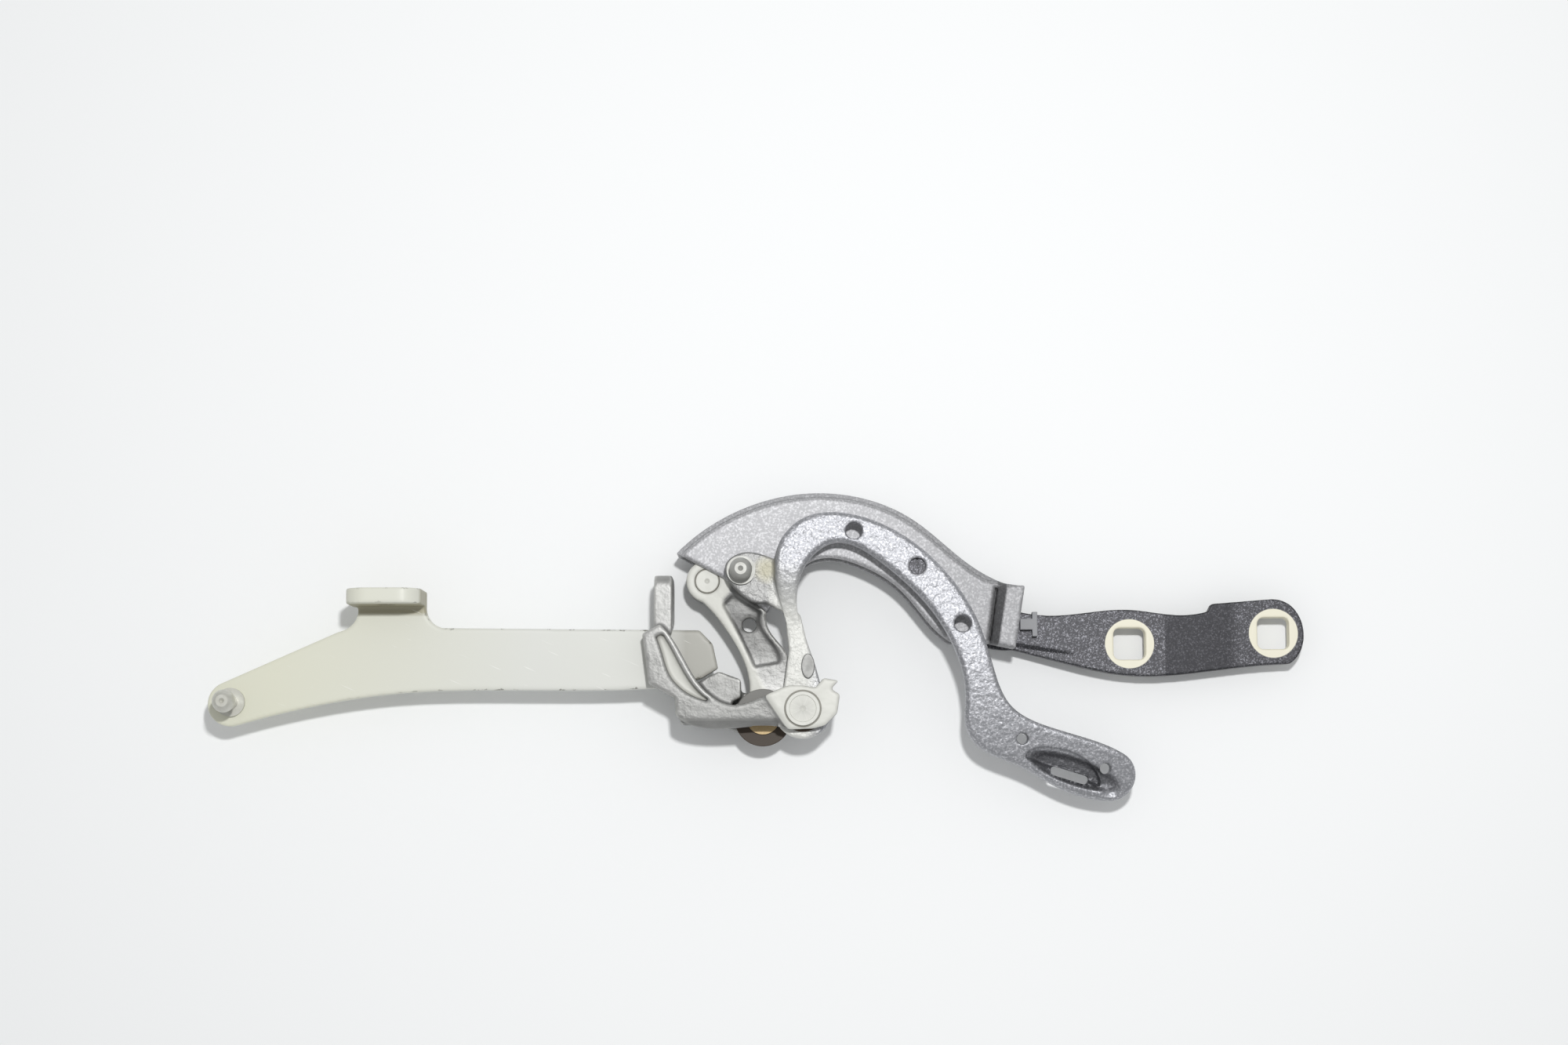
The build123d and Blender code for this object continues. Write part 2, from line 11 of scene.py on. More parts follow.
import bpy
from mathutils import Euler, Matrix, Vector


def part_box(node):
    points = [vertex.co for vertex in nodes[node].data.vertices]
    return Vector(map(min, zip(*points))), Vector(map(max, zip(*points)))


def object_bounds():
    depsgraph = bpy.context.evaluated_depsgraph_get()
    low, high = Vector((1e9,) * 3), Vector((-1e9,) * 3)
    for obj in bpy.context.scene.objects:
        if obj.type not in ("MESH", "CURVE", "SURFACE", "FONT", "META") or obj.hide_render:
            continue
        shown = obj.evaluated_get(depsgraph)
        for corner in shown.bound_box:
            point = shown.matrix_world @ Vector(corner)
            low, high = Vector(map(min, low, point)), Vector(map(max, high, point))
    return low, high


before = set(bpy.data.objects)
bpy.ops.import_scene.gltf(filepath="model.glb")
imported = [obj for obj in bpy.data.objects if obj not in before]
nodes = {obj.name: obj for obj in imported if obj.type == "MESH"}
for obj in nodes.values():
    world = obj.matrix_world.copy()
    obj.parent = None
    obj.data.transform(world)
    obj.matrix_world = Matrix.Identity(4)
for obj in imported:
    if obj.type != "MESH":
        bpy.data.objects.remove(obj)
cad_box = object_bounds()
MM = 0.001

# %% [markdown]
# ## Camera
# The photograph looks almost straight down. Its direction was found by matching the pivots, holes and arm
# ends with their places in the picture. A camera can be aimed with a tracking constraint or by angles. An
# elevation and a small roll are used here, because they say plainly how the picture was taken.

# %% Camera above the hinge
LENS = 61.74
SENSOR = 36.0
AIM = Vector((-8.0, 83.5, 0.0)) * MM
ELEVATION = math.radians(84.0)
ROLL = math.radians(-0.2)
DISTANCE = 1203.3 * MM

camera_data = bpy.data.cameras.new("camera")
camera_data.lens = LENS
camera_data.sensor_width = SENSOR
camera = bpy.data.objects.new("camera", camera_data)
away = Vector((0.0, -math.cos(ELEVATION), math.sin(ELEVATION)))
camera.location = AIM + away * DISTANCE
turn = Euler((math.pi / 2 - ELEVATION, 0.0, 0.0)).to_quaternion()
camera.rotation_mode = "QUATERNION"
camera.rotation_quaternion = turn @ Euler((0.0, 0.0, ROLL)).to_quaternion()
bpy.context.scene.collection.objects.link(camera)
bpy.context.scene.camera = camera
bpy.context.scene.view_settings.view_transform = "Standard"
print("camera at", [round(v, 3) for v in camera.location])

# %% [markdown]
# ## Helpers for finishes
# Colours are written as they look on a screen, and the renderer needs them in linear light, so one
# function turns them. Another function adds a node, sets its values and links what feeds it. A pattern's
# scale counts repeats in a metre, so it is worked out from the size of one grain in millimetres. A finish
# often changes at a place on the piece, and a mask could be painted for that. An ellipse that is measured
# from its middle does the same with three numbers, and it serves the shapes below as well.

# %% Colour, node, grain and place helpers
UPRIGHT = (0.0, 0.0, 1.0)
FLATTEN = (1.0, 1.0, 0.0)
# Sockets of the colour mix node, which has several called A and B
FACTOR, COLOUR_A, COLOUR_B, MIXED = 0, 6, 7, 2


def linear(code):
    """Linear red, green, blue and alpha of an sRGB hex colour."""
    parts = [int(code[i:i + 2], 16) / 255 for i in (1, 3, 5)]
    return [p / 12.92 if p <= 0.04045 else ((p + 0.055) / 1.055) ** 2.4 for p in parts] + [1.0]


def add(tree, kind, inputs=(), **settings):
    """Adds a node. Settings go on the node; inputs give a socket a constant or another node's output."""
    made = tree.nodes.new(kind)
    for name, value in settings.items():
        setattr(made, name, value)
    for socket, value in dict(inputs).items():
        if isinstance(value, bpy.types.NodeSocket):
            tree.links.new(value, made.inputs[socket])
        else:
            made.inputs[socket].default_value = value
    return made


def grain(size):
    """Noise scale that gives grains of this size in millimetres."""
    return 1.0 / (size * MM)


def ellipse_reach(tree, place, middle, turn, half):
    """How far a place lies from an ellipse's middle: 1 on its line. Half holds its two half widths."""
    turned = add(tree, "ShaderNodeVectorRotate", {
        "Vector": place, "Center": middle, "Axis": UPRIGHT, "Angle": math.radians(turn)})
    away = add(tree, "ShaderNodeVectorMath", {0: turned.outputs["Vector"], 1: middle}, operation="SUBTRACT")
    shares = add(tree, "ShaderNodeVectorMath", {
        0: away.outputs["Vector"], 1: (1 / half[0], 1 / half[1], 0.0)}, operation="MULTIPLY")
    reach = add(tree, "ShaderNodeVectorMath", {0: shares.outputs["Vector"]}, operation="LENGTH")
    return reach.outputs["Value"]


def finish(name):
    """A new finish: its node tree, its surface shader and the piece's own coordinates in metres."""
    material = bpy.data.materials.new(name)
    material.use_nodes = True
    tree = material.node_tree
    return tree, tree.nodes["Principled BSDF"], add(tree, "ShaderNodeTexCoord").outputs["Object"]


print("helpers ready, mid grey is", round(linear("#808080")[0], 2), "in linear light")

# %% [markdown]
# ## Cream primer on the stamped arm
# The mounting arm was pressed from plate and dipped in an electrically laid primer. It is an even,
# half-matt cream, yellower towards the tail and misted with grey near the knuckle. In the bend under the
# tab it is painted a darker olive, as shade. Knocks took chips out of its edges, most near the knuckle, and
# tools left faint light scratches. A painted image could give all that, but noise in the piece's own
# coordinates works from every side. A rubbed edge is found by how far the surface points out.

# %% Cream primer: the coat
CREAM = "#D6D7D1"
CREAM_WARM = "#DADAC8"
CREAM_GREY = "#A9A8A0"
# Olive that paints the shade in the bend under the tab
CREAM_SHADE_UNDER_TAB = "#A29E87"
# Where each change of tone starts and where it is full
TAIL_X = (-120 * MM, -235 * MM)
MIST_X = (-62 * MM, -52 * MM)
UNDER_TAB_X = (-110 * MM, -150 * MM)
UNDER_TAB_Y = (42 * MM, 44 * MM)
UNDER_TAB_Z = (15 * MM, 12 * MM)

tree, coat, place = finish("primer_cream_dipped")
position = add(tree, "ShaderNodeSeparateXYZ", {"Vector": place})
tail = add(tree, "ShaderNodeMapRange", {
    "Value": position.outputs["X"], "From Min": TAIL_X[0], "From Max": TAIL_X[1]})
tone = add(tree, "ShaderNodeMix", {
    FACTOR: tail.outputs["Result"], COLOUR_A: linear(CREAM), COLOUR_B: linear(CREAM_WARM)}, data_type="RGBA")
mist = add(tree, "ShaderNodeMapRange", {
    "Value": position.outputs["X"], "From Min": MIST_X[0], "From Max": MIST_X[1]})
misted = add(tree, "ShaderNodeMix", {
    FACTOR: mist.outputs["Result"], COLOUR_A: tone.outputs[MIXED], COLOUR_B: linear(CREAM_GREY)},
    data_type="RGBA")
# Painted shade under the tab, full only inside all three ranges
under_tab_shade = 1.0
for axis, (start, full) in zip("XYZ", (UNDER_TAB_X, UNDER_TAB_Y, UNDER_TAB_Z)):
    inside = add(tree, "ShaderNodeMapRange", {
        "Value": position.outputs[axis], "From Min": start, "From Max": full})
    both = add(tree, "ShaderNodeMath", {0: inside.outputs["Result"], 1: under_tab_shade}, operation="MULTIPLY")
    under_tab_shade = both.outputs[0]
coated = add(tree, "ShaderNodeMix", {
    FACTOR: under_tab_shade, COLOUR_A: misted.outputs[MIXED], COLOUR_B: linear(CREAM_SHADE_UNDER_TAB)}, data_type="RGBA")
print("coat of primer on the arm")

# %% Cream primer: chips, scratches and skin
CHIP = "#6B6960"
CHIP_SIZE = 5.0
# Pointiness is about 0.5 on flat ground, more on an edge and less in a hollow
EDGE_POINTS = (0.51, 0.54)
KNOCKED_X = (-215 * MM, -130 * MM)
SCRATCH = "#F2F2EE"
SCRATCH_LONG, SCRATCH_WIDE = 14.0, 0.8
SCRATCH_SLANT = math.radians(24)
CLOUD_SIZE = 45.0
PEEL_SIZE = 1.8

specks = add(tree, "ShaderNodeTexNoise", {
    "Vector": place, "Scale": grain(CHIP_SIZE), "Detail": 6.0, "Roughness": 0.7})
edge = add(tree, "ShaderNodeMapRange", {
    "Value": add(tree, "ShaderNodeNewGeometry").outputs["Pointiness"],
    "From Min": EDGE_POINTS[0], "From Max": EDGE_POINTS[1], "To Max": 0.16})
likely = add(tree, "ShaderNodeMath", {0: specks.outputs["Fac"], 1: edge.outputs["Result"]}, operation="ADD")
chips = add(tree, "ShaderNodeMapRange", {"Value": likely.outputs[0], "From Min": 0.70, "From Max": 0.76})
knocked = add(tree, "ShaderNodeMapRange", {
    "Value": position.outputs["X"], "From Min": KNOCKED_X[0], "From Max": KNOCKED_X[1], "To Max": 0.9})
loss = add(tree, "ShaderNodeMath", {
    0: chips.outputs["Result"], 1: knocked.outputs["Result"]}, operation="MULTIPLY")
chipped = add(tree, "ShaderNodeMix", {
    FACTOR: loss.outputs[0], COLOUR_A: coated.outputs[MIXED], COLOUR_B: linear(CHIP)}, data_type="RGBA")
drawn = add(tree, "ShaderNodeVectorRotate", {"Vector": place, "Axis": UPRIGHT, "Angle": SCRATCH_SLANT})
streaks = add(tree, "ShaderNodeVectorMath", {
    0: drawn.outputs["Vector"], 1: (grain(SCRATCH_LONG), grain(SCRATCH_WIDE), grain(SCRATCH_LONG))},
    operation="MULTIPLY")
lines = add(tree, "ShaderNodeTexNoise", {"Vector": streaks.outputs["Vector"], "Scale": 1.0, "Detail": 2.0})
scratch = add(tree, "ShaderNodeMapRange", {
    "Value": lines.outputs["Fac"], "From Min": 0.70, "From Max": 0.80, "To Max": 0.7})
worn = add(tree, "ShaderNodeMix", {
    FACTOR: scratch.outputs["Result"], COLOUR_A: chipped.outputs[MIXED], COLOUR_B: linear(SCRATCH)},
    data_type="RGBA")
tree.links.new(worn.outputs[MIXED], coat.inputs["Base Color"])
clouds = add(tree, "ShaderNodeTexNoise", {"Vector": place, "Scale": grain(CLOUD_SIZE), "Detail": 5.0})
sheen = add(tree, "ShaderNodeMapRange", {"Value": clouds.outputs["Fac"], "To Min": 0.36, "To Max": 0.52})
tree.links.new(sheen.outputs["Result"], coat.inputs["Roughness"])
peel = add(tree, "ShaderNodeTexNoise", {"Vector": place, "Scale": grain(PEEL_SIZE), "Detail": 2.0})
skin = add(tree, "ShaderNodeBump", {"Height": peel.outputs["Fac"], "Strength": 0.12, "Distance": 0.1 * MM})
tree.links.new(skin.outputs["Normal"], coat.inputs["Normal"])
print("chips and scratches on the arm")

# %% [markdown]
# ## Primer with silver overspray on the forgings
# Knuckle and link are forged steel. They were dipped in the same primer, and then silver paint was
# sprayed over them: it lies on the high faces and left the knuckle's valley, its machined eye and the
# link's rim cream. The seams round their rivets are painted dark as shade. The brown washer between them
# caught the spray on its upper half. A second shader could be mixed in, but one shader whose colour and
# metallic value follow the paint exports well. Places say where the spray stops: the valley's outline, the
# height of the eye, the link's round head and a line along its rim. To the eye it is a soft silver that
# turns bright where hands and tools rubbed the corners. It is painted darker in the hollows as shade, and
# the link's web is painted darker towards the lobe above it, also as shade.

# %% Primer and overspray, forged
FORGED_CREAM = "#CECEC7"
KNUCKLE_SILVER = ("#727270", "#A8A8A6")
KNUCKLE_FADE = (-10.0 * MM, 50.0 * MM)
# The link's web is painted darker towards the lobe above it: painted shade
LINK_SILVER = ("#454544", "#B8B8B6")
LINK_SHADE_FADE = (36.0 * MM, 10.0 * MM)
RUBBED = "#DCDCD8"
RUBBED_POINTS = (0.51, 0.57)
HOLLOW_POINTS = (0.43, 0.49)
HOLLOW_SHADE = 0.55
# Painted shade in the seam round each rivet
SEAM_SHADE_COLOUR = "#86847B"
SEAM_HALF = 0.4 * MM
SPRAY_DRIFT = 16.0
FORGED_LUMPS = 2.2


def sprayed_forging(name, silvers, fade, spare, rivet):
    """Silver spray on cream, from dark to light along fade. Spare gives 1 where the cream stays bare.

    Rivet is the middle, the radius and the lowest height of a rivet, whose seam is painted dark as shade.
    """
    rivet_middle, rivet_radius, rivet_low = rivet
    tree, coat, place = finish(name)
    cream = spare(tree, place)
    bare = add(tree, "ShaderNodeMath", {0: 1.0, 1: cream}, operation="SUBTRACT", use_clamp=True).outputs[0]
    drift = add(tree, "ShaderNodeTexNoise", {"Vector": place, "Scale": grain(SPRAY_DRIFT), "Detail": 4.0})
    cover = add(tree, "ShaderNodeMapRange", {
        "Value": drift.outputs["Fac"], "From Min": 0.35, "From Max": 0.65, "To Max": 0.4})
    axes = add(tree, "ShaderNodeSeparateXYZ", {"Vector": place})
    # On the link the dark end of this fade is painted shade under the lobe
    lighter = add(tree, "ShaderNodeMapRange", {
        "Value": axes.outputs["Y"], "From Min": fade[0], "From Max": fade[1], "To Max": 0.6})
    share = add(tree, "ShaderNodeMath", {
        0: cover.outputs["Result"], 1: lighter.outputs["Result"]}, operation="ADD")
    silver = add(tree, "ShaderNodeMix", {
        FACTOR: share.outputs[0], COLOUR_A: linear(silvers[0]), COLOUR_B: linear(silvers[1])},
        data_type="RGBA")
    corner = add(tree, "ShaderNodeNewGeometry").outputs["Pointiness"]
    rub = add(tree, "ShaderNodeMapRange", {
        "Value": corner, "From Min": RUBBED_POINTS[0], "From Max": RUBBED_POINTS[1]})
    worn = add(tree, "ShaderNodeMix", {
        FACTOR: rub.outputs["Result"], COLOUR_A: silver.outputs[MIXED], COLOUR_B: linear(RUBBED)},
        data_type="RGBA")
    tone = add(tree, "ShaderNodeMix", {
        FACTOR: bare, COLOUR_A: linear(FORGED_CREAM), COLOUR_B: worn.outputs[MIXED]}, data_type="RGBA")
    # Painted shade: the hollows are darkened
    hollow_shade = add(tree, "ShaderNodeMapRange", {
        "Value": corner, "From Min": HOLLOW_POINTS[0], "From Max": HOLLOW_POINTS[1],
        "To Min": HOLLOW_SHADE, "To Max": 1.0})
    shaded = add(tree, "ShaderNodeMix", {
        FACTOR: 1.0, COLOUR_A: tone.outputs[MIXED], COLOUR_B: hollow_shade.outputs["Result"]},
        data_type="RGBA", blend_type="MULTIPLY")
    in_plan = add(tree, "ShaderNodeVectorMath", {0: place, 1: FLATTEN}, operation="MULTIPLY")
    from_rivet = add(tree, "ShaderNodeVectorMath", {
        0: in_plan.outputs["Vector"], 1: rivet_middle}, operation="DISTANCE")
    # Painted shade: a thin dark ring in the seam round the rivet
    seam = add(tree, "ShaderNodeMath", {
        0: from_rivet.outputs["Value"], 1: rivet_radius, 2: SEAM_HALF}, operation="COMPARE")
    in_front = add(tree, "ShaderNodeMath", {0: axes.outputs["Z"], 1: rivet_low}, operation="GREATER_THAN")
    seam_shade_mask = add(tree, "ShaderNodeMath", {0: seam.outputs[0], 1: in_front.outputs[0]}, operation="MULTIPLY")
    seam_shaded = add(tree, "ShaderNodeMix", {
        FACTOR: seam_shade_mask.outputs[0], COLOUR_A: shaded.outputs[MIXED], COLOUR_B: linear(SEAM_SHADE_COLOUR)}, data_type="RGBA")
    tree.links.new(seam_shaded.outputs[MIXED], coat.inputs["Base Color"])
    metal = add(tree, "ShaderNodeMapRange", {"Value": bare, "To Min": 0.05, "To Max": 0.6})
    tree.links.new(metal.outputs["Result"], coat.inputs["Metallic"])
    polish = add(tree, "ShaderNodeMapRange", {"Value": drift.outputs["Fac"], "To Min": 0.4, "To Max": 0.56})
    tree.links.new(polish.outputs["Result"], coat.inputs["Roughness"])
    waves = add(tree, "ShaderNodeBump", {
        "Height": drift.outputs["Fac"], "Strength": 0.5, "Distance": 1.2 * MM})
    scale = add(tree, "ShaderNodeTexNoise", {"Vector": place, "Scale": grain(FORGED_LUMPS), "Detail": 3.0})
    rough = add(tree, "ShaderNodeMapRange", {"Value": bare, "To Min": 0.08, "To Max": 0.5})
    skin = add(tree, "ShaderNodeBump", {
        "Height": scale.outputs["Fac"], "Strength": rough.outputs["Result"], "Distance": 0.45 * MM,
        "Normal": waves.outputs["Normal"]})
    tree.links.new(skin.outputs["Normal"], coat.inputs["Normal"])


# %% Where the spray stops
SOFT_BORDER = 0.3 * MM
VALLEY_LOW, VALLEY_HIGH, EYE_FACE = 1.5 * MM, 6.5 * MM, 10.4 * MM
VALLEY_MIDDLE = Vector((-53.0, 15.5, 0.0)) * MM
VALLEY_TURN = 52.0
VALLEY_HALF = (23.0 * MM, 6.0 * MM)
RIM_POINT = Vector((-35.0, 47.0)) * MM
RIM_ALONG = Vector((13.2, -28.0)).normalized()
RIM_SOFT = 1.2 * MM
HEAD_MIDDLE = Vector((-42.6, 57.9, 0.0)) * MM
HEAD_HALF = (10.5 * MM, 10.5 * MM)


def knuckle_cream(tree, place):
    """The valley, inside an ellipse and below the ridge, and the machined face of the eye."""
    height = add(tree, "ShaderNodeSeparateXYZ", {"Vector": place}).outputs["Z"]
    reach = ellipse_reach(tree, place, VALLEY_MIDDLE, VALLEY_TURN, VALLEY_HALF)
    inside = add(tree, "ShaderNodeMath", {0: reach, 1: 1.0}, operation="LESS_THAN")
    over = add(tree, "ShaderNodeMapRange", {
        "Value": height, "From Min": VALLEY_LOW - SOFT_BORDER, "From Max": VALLEY_LOW})
    under = add(tree, "ShaderNodeMapRange", {
        "Value": height, "From Min": VALLEY_HIGH, "From Max": VALLEY_HIGH - SOFT_BORDER})
    deep = add(tree, "ShaderNodeMath", {
        0: over.outputs["Result"], 1: under.outputs["Result"]}, operation="MULTIPLY")
    valley = add(tree, "ShaderNodeMath", {0: deep.outputs[0], 1: inside.outputs[0]}, operation="MULTIPLY")
    eye = add(tree, "ShaderNodeMapRange", {
        "Value": height, "From Min": EYE_FACE - SOFT_BORDER, "From Max": EYE_FACE})
    cream = add(tree, "ShaderNodeMath", {0: valley.outputs[0], 1: eye.outputs["Result"]}, operation="MAXIMUM")
    return cream.outputs[0]


def link_cream(tree, place):
    """The link's round head, and the left side of a line along its rim."""
    axes = add(tree, "ShaderNodeSeparateXYZ", {"Vector": place})
    across = add(tree, "ShaderNodeMath", {0: axes.outputs["X"], 1: -RIM_ALONG.y}, operation="MULTIPLY")
    side = add(tree, "ShaderNodeMath", {
        0: axes.outputs["Y"], 1: RIM_ALONG.x, 2: across.outputs[0]}, operation="MULTIPLY_ADD")
    border = RIM_POINT.y * RIM_ALONG.x - RIM_POINT.x * RIM_ALONG.y
    rim = add(tree, "ShaderNodeMapRange", {
        "Value": side.outputs[0], "From Min": border + RIM_SOFT, "From Max": border - RIM_SOFT})
    head = add(tree, "ShaderNodeMapRange", {
        "Value": ellipse_reach(tree, place, HEAD_MIDDLE, 0.0, HEAD_HALF), "From Min": 1.1, "From Max": 0.9})
    cream = add(tree, "ShaderNodeMath", {
        0: rim.outputs["Result"], 1: head.outputs["Result"]}, operation="MAXIMUM")
    return cream.outputs[0]


# Middle, radius and lowest height of each rivet
MAIN_RIVET = (Vector((0.0, 0.0, 0.0)), 7.9 * MM, EYE_FACE)
LINK_RIVET = (HEAD_MIDDLE, 5.3 * MM, -7.6 * MM)
sprayed_forging("primer_oversprayed_knuckle", KNUCKLE_SILVER, KNUCKLE_FADE, knuckle_cream, MAIN_RIVET)
sprayed_forging("primer_oversprayed_link", LINK_SILVER, LINK_SHADE_FADE, link_cream, LINK_RIVET)
print("overspray on the knuckle and the link")

# %% Brown washer, dusted with silver
WASHER_BROWN = "#3B2F22"
WASHER_DUST = "#7F7E7A"
DUST_Y = (-1.0 * MM, 1.0 * MM)

tree, coat, place = finish("steel_phosphate_dusted")
upward = add(tree, "ShaderNodeSeparateXYZ", {"Vector": place}).outputs["Y"]
dust = add(tree, "ShaderNodeMapRange", {"Value": upward, "From Min": DUST_Y[0], "From Max": DUST_Y[1]})
tone = add(tree, "ShaderNodeMix", {
    FACTOR: dust.outputs["Result"], COLOUR_A: linear(WASHER_BROWN), COLOUR_B: linear(WASHER_DUST)},
    data_type="RGBA")
tree.links.new(tone.outputs[MIXED], coat.inputs["Base Color"])
coat.inputs["Roughness"].default_value = 0.55
print("brown washer, dusted on its upper half")

# %% [markdown]
# ## Grey metallic paint on the gooseneck
# The gooseneck is a thick forging under grey metallic car paint. The flakes lie a little askew, so the
# flat face sparkles in specks, and it shines most where it mirrors the lamp. Real flakes are too fine to
# show here, so the specks are drawn about a millimetre wide. The lobe got a thinner, calmer coat, and on
# the low leg the cream primer shows through. At the lobe's neck, at the foot of the arch's step, primer
# shows through too, painted darker olive as shade. The dish round the foot's slot is painted dark as shade.
# An image of flakes could be wrapped round it, but a noise with grains of a set size needs no unwrapping.

# %% Grey metallic paint: flakes and thin coats
PAINT_GREY = "#9C9DA1"
FLAKE = "#D0D0D4"
FLAKE_SIZE = 1.0
THIN_COAT = "#929291"
# Where each change of coat starts and where it is full
LOBE_X = (-8 * MM, -14 * MM)
# Olive primer at the lobe's neck, darkened as painted shade at the foot of the arch's step
NECK_CREAM_AND_SHADE = "#B9B59E"
NECK_MIDDLE = Vector((-15.5, 62.0, 4.0)) * MM
NECK_REACH = (7 * MM, 2 * MM)
LEG_CREAM = "#D5D5CF"
LEG_Y = (66 * MM, 42 * MM)
LEG_RIGHT_X = (9 * MM, 1 * MM)
LEG_LEFT_X = (-16 * MM, -12 * MM)
LEG_SHARE = 0.85

tree, coat, place = finish("metallic_paint_grey_on_forging")
flakes = add(tree, "ShaderNodeTexNoise", {
    "Vector": place, "Scale": grain(FLAKE_SIZE), "Detail": 3.0, "Roughness": 0.6})
glint = add(tree, "ShaderNodeMapRange", {"Value": flakes.outputs["Fac"], "From Min": 0.48, "From Max": 0.68})
tone = add(tree, "ShaderNodeMix", {
    FACTOR: glint.outputs["Result"], COLOUR_A: linear(PAINT_GREY), COLOUR_B: linear(FLAKE)}, data_type="RGBA")
position = add(tree, "ShaderNodeSeparateXYZ", {"Vector": place})
lobe = add(tree, "ShaderNodeMapRange", {
    "Value": position.outputs["X"], "From Min": LOBE_X[0], "From Max": LOBE_X[1]})
coated = add(tree, "ShaderNodeMix", {
    FACTOR: lobe.outputs["Result"], COLOUR_A: tone.outputs[MIXED], COLOUR_B: linear(THIN_COAT)},
    data_type="RGBA")
# Primer and painted shade: the lobe's neck turns olive cream
reach = add(tree, "ShaderNodeVectorMath", {0: place, 1: NECK_MIDDLE}, operation="DISTANCE")
neck_primer_and_shade = add(tree, "ShaderNodeMapRange", {
    "Value": reach.outputs["Value"], "From Min": NECK_REACH[0], "From Max": NECK_REACH[1], "To Max": 0.8})
necked = add(tree, "ShaderNodeMix", {
    FACTOR: neck_primer_and_shade.outputs["Result"], COLOUR_A: coated.outputs[MIXED], COLOUR_B: linear(NECK_CREAM_AND_SHADE)},
    data_type="RGBA")
leg = LEG_SHARE
for axis, (start, full) in (("Y", LEG_Y), ("X", LEG_RIGHT_X), ("X", LEG_LEFT_X)):
    inside = add(tree, "ShaderNodeMapRange", {
        "Value": position.outputs[axis], "From Min": start, "From Max": full})
    both = add(tree, "ShaderNodeMath", {0: inside.outputs["Result"], 1: leg}, operation="MULTIPLY")
    leg = both.outputs[0]
primed = add(tree, "ShaderNodeMix", {
    FACTOR: leg, COLOUR_A: necked.outputs[MIXED], COLOUR_B: linear(LEG_CREAM)}, data_type="RGBA")
print("flakes, and primer that shows through on the leg and at the lobe's neck")

# %% Grey metallic paint: dark dish, gloss and lumps
# Painted shade in the dish round the foot's slot
DISH_SHADE = "#343438"
DISH_MIDDLE = Vector((120.5, -27.8, 0.0)) * MM
DISH_TURN = 19.0
DISH_HALF = (23.0 * MM, 6.4 * MM)
GOOSENECK_LUMPS = 2.6

# Painted shade: the dish is darkened inside its ellipse
dish_shade_share = add(tree, "ShaderNodeMapRange", {
    "Value": ellipse_reach(tree, place, DISH_MIDDLE, DISH_TURN, DISH_HALF),
    "From Min": 1.0, "From Max": 0.85, "To Max": 0.6})
dish_shaded = add(tree, "ShaderNodeMix", {
    FACTOR: dish_shade_share.outputs["Result"], COLOUR_A: primed.outputs[MIXED], COLOUR_B: linear(DISH_SHADE)},
    data_type="RGBA")
tree.links.new(dish_shaded.outputs[MIXED], coat.inputs["Base Color"])
primer = add(tree, "ShaderNodeMath", {0: neck_primer_and_shade.outputs["Result"], 1: leg}, operation="MAXIMUM")
metal = add(tree, "ShaderNodeMapRange", {"Value": primer.outputs[0], "To Min": 0.8, "To Max": 0.1})
tree.links.new(metal.outputs["Result"], coat.inputs["Metallic"])
coat.inputs["Roughness"].default_value = 0.5
lumps = add(tree, "ShaderNodeTexNoise", {"Vector": place, "Scale": grain(GOOSENECK_LUMPS), "Detail": 3.0})
skin = add(tree, "ShaderNodeBump", {"Height": lumps.outputs["Fac"], "Strength": 1.0, "Distance": 0.6 * MM})
tree.links.new(skin.outputs["Normal"], coat.inputs["Normal"])
print("metallic paint on the gooseneck")

# %% [markdown]
# ## Silver paint on the cover
# The cover is a moulding over the lid arm, sprayed with the same silver. Its skin is smoother, so the
# sparkle is finer and the sheen runs evenly along the arch. The step round its rim and the slope of its
# end block are painted dark as shade, and the colour is darker towards the cover's right end. Those faces
# could get a second, darker finish, but one finish that knows the hollows and the slope needs no split of
# the mesh.

# %% Silver metallic paint, moulded cover
COVER_SILVER = "#A9A9AB"
COVER_FLAKE = "#CDCDCF"
COVER_FLAKE_SIZE = 0.9
# How much colour is kept: painted shade in a hollow and on the block's slope, less at the cover's right end
STEP_POINTS = (0.45, 0.495)
STEP_SHADE = 0.15
SLOPE_POINT = Vector((87.6, 54.7, 0.0)) * MM
SLOPE_NORMAL = Vector((0.987, -0.158, 0.0))
SLOPE_RUN = 4.0 * MM
SLOPE_SHADE = 0.4
RIGHT_END_X = (25 * MM, 95 * MM)
RIGHT_END_SHARE = 0.74

tree, coat, place = finish("metallic_paint_silver_on_moulding")
flakes = add(tree, "ShaderNodeTexNoise", {"Vector": place, "Scale": grain(COVER_FLAKE_SIZE), "Detail": 2.0})
glint = add(tree, "ShaderNodeMapRange", {"Value": flakes.outputs["Fac"], "From Min": 0.45, "From Max": 0.7})
tone = add(tree, "ShaderNodeMix", {
    FACTOR: glint.outputs["Result"], COLOUR_A: linear(COVER_SILVER), COLOUR_B: linear(COVER_FLAKE)},
    data_type="RGBA")
# Painted shade in the step round the rim
hollow_shade = add(tree, "ShaderNodeMapRange", {
    "Value": add(tree, "ShaderNodeNewGeometry").outputs["Pointiness"],
    "From Min": STEP_POINTS[0], "From Max": STEP_POINTS[1], "To Min": STEP_SHADE, "To Max": 1.0})
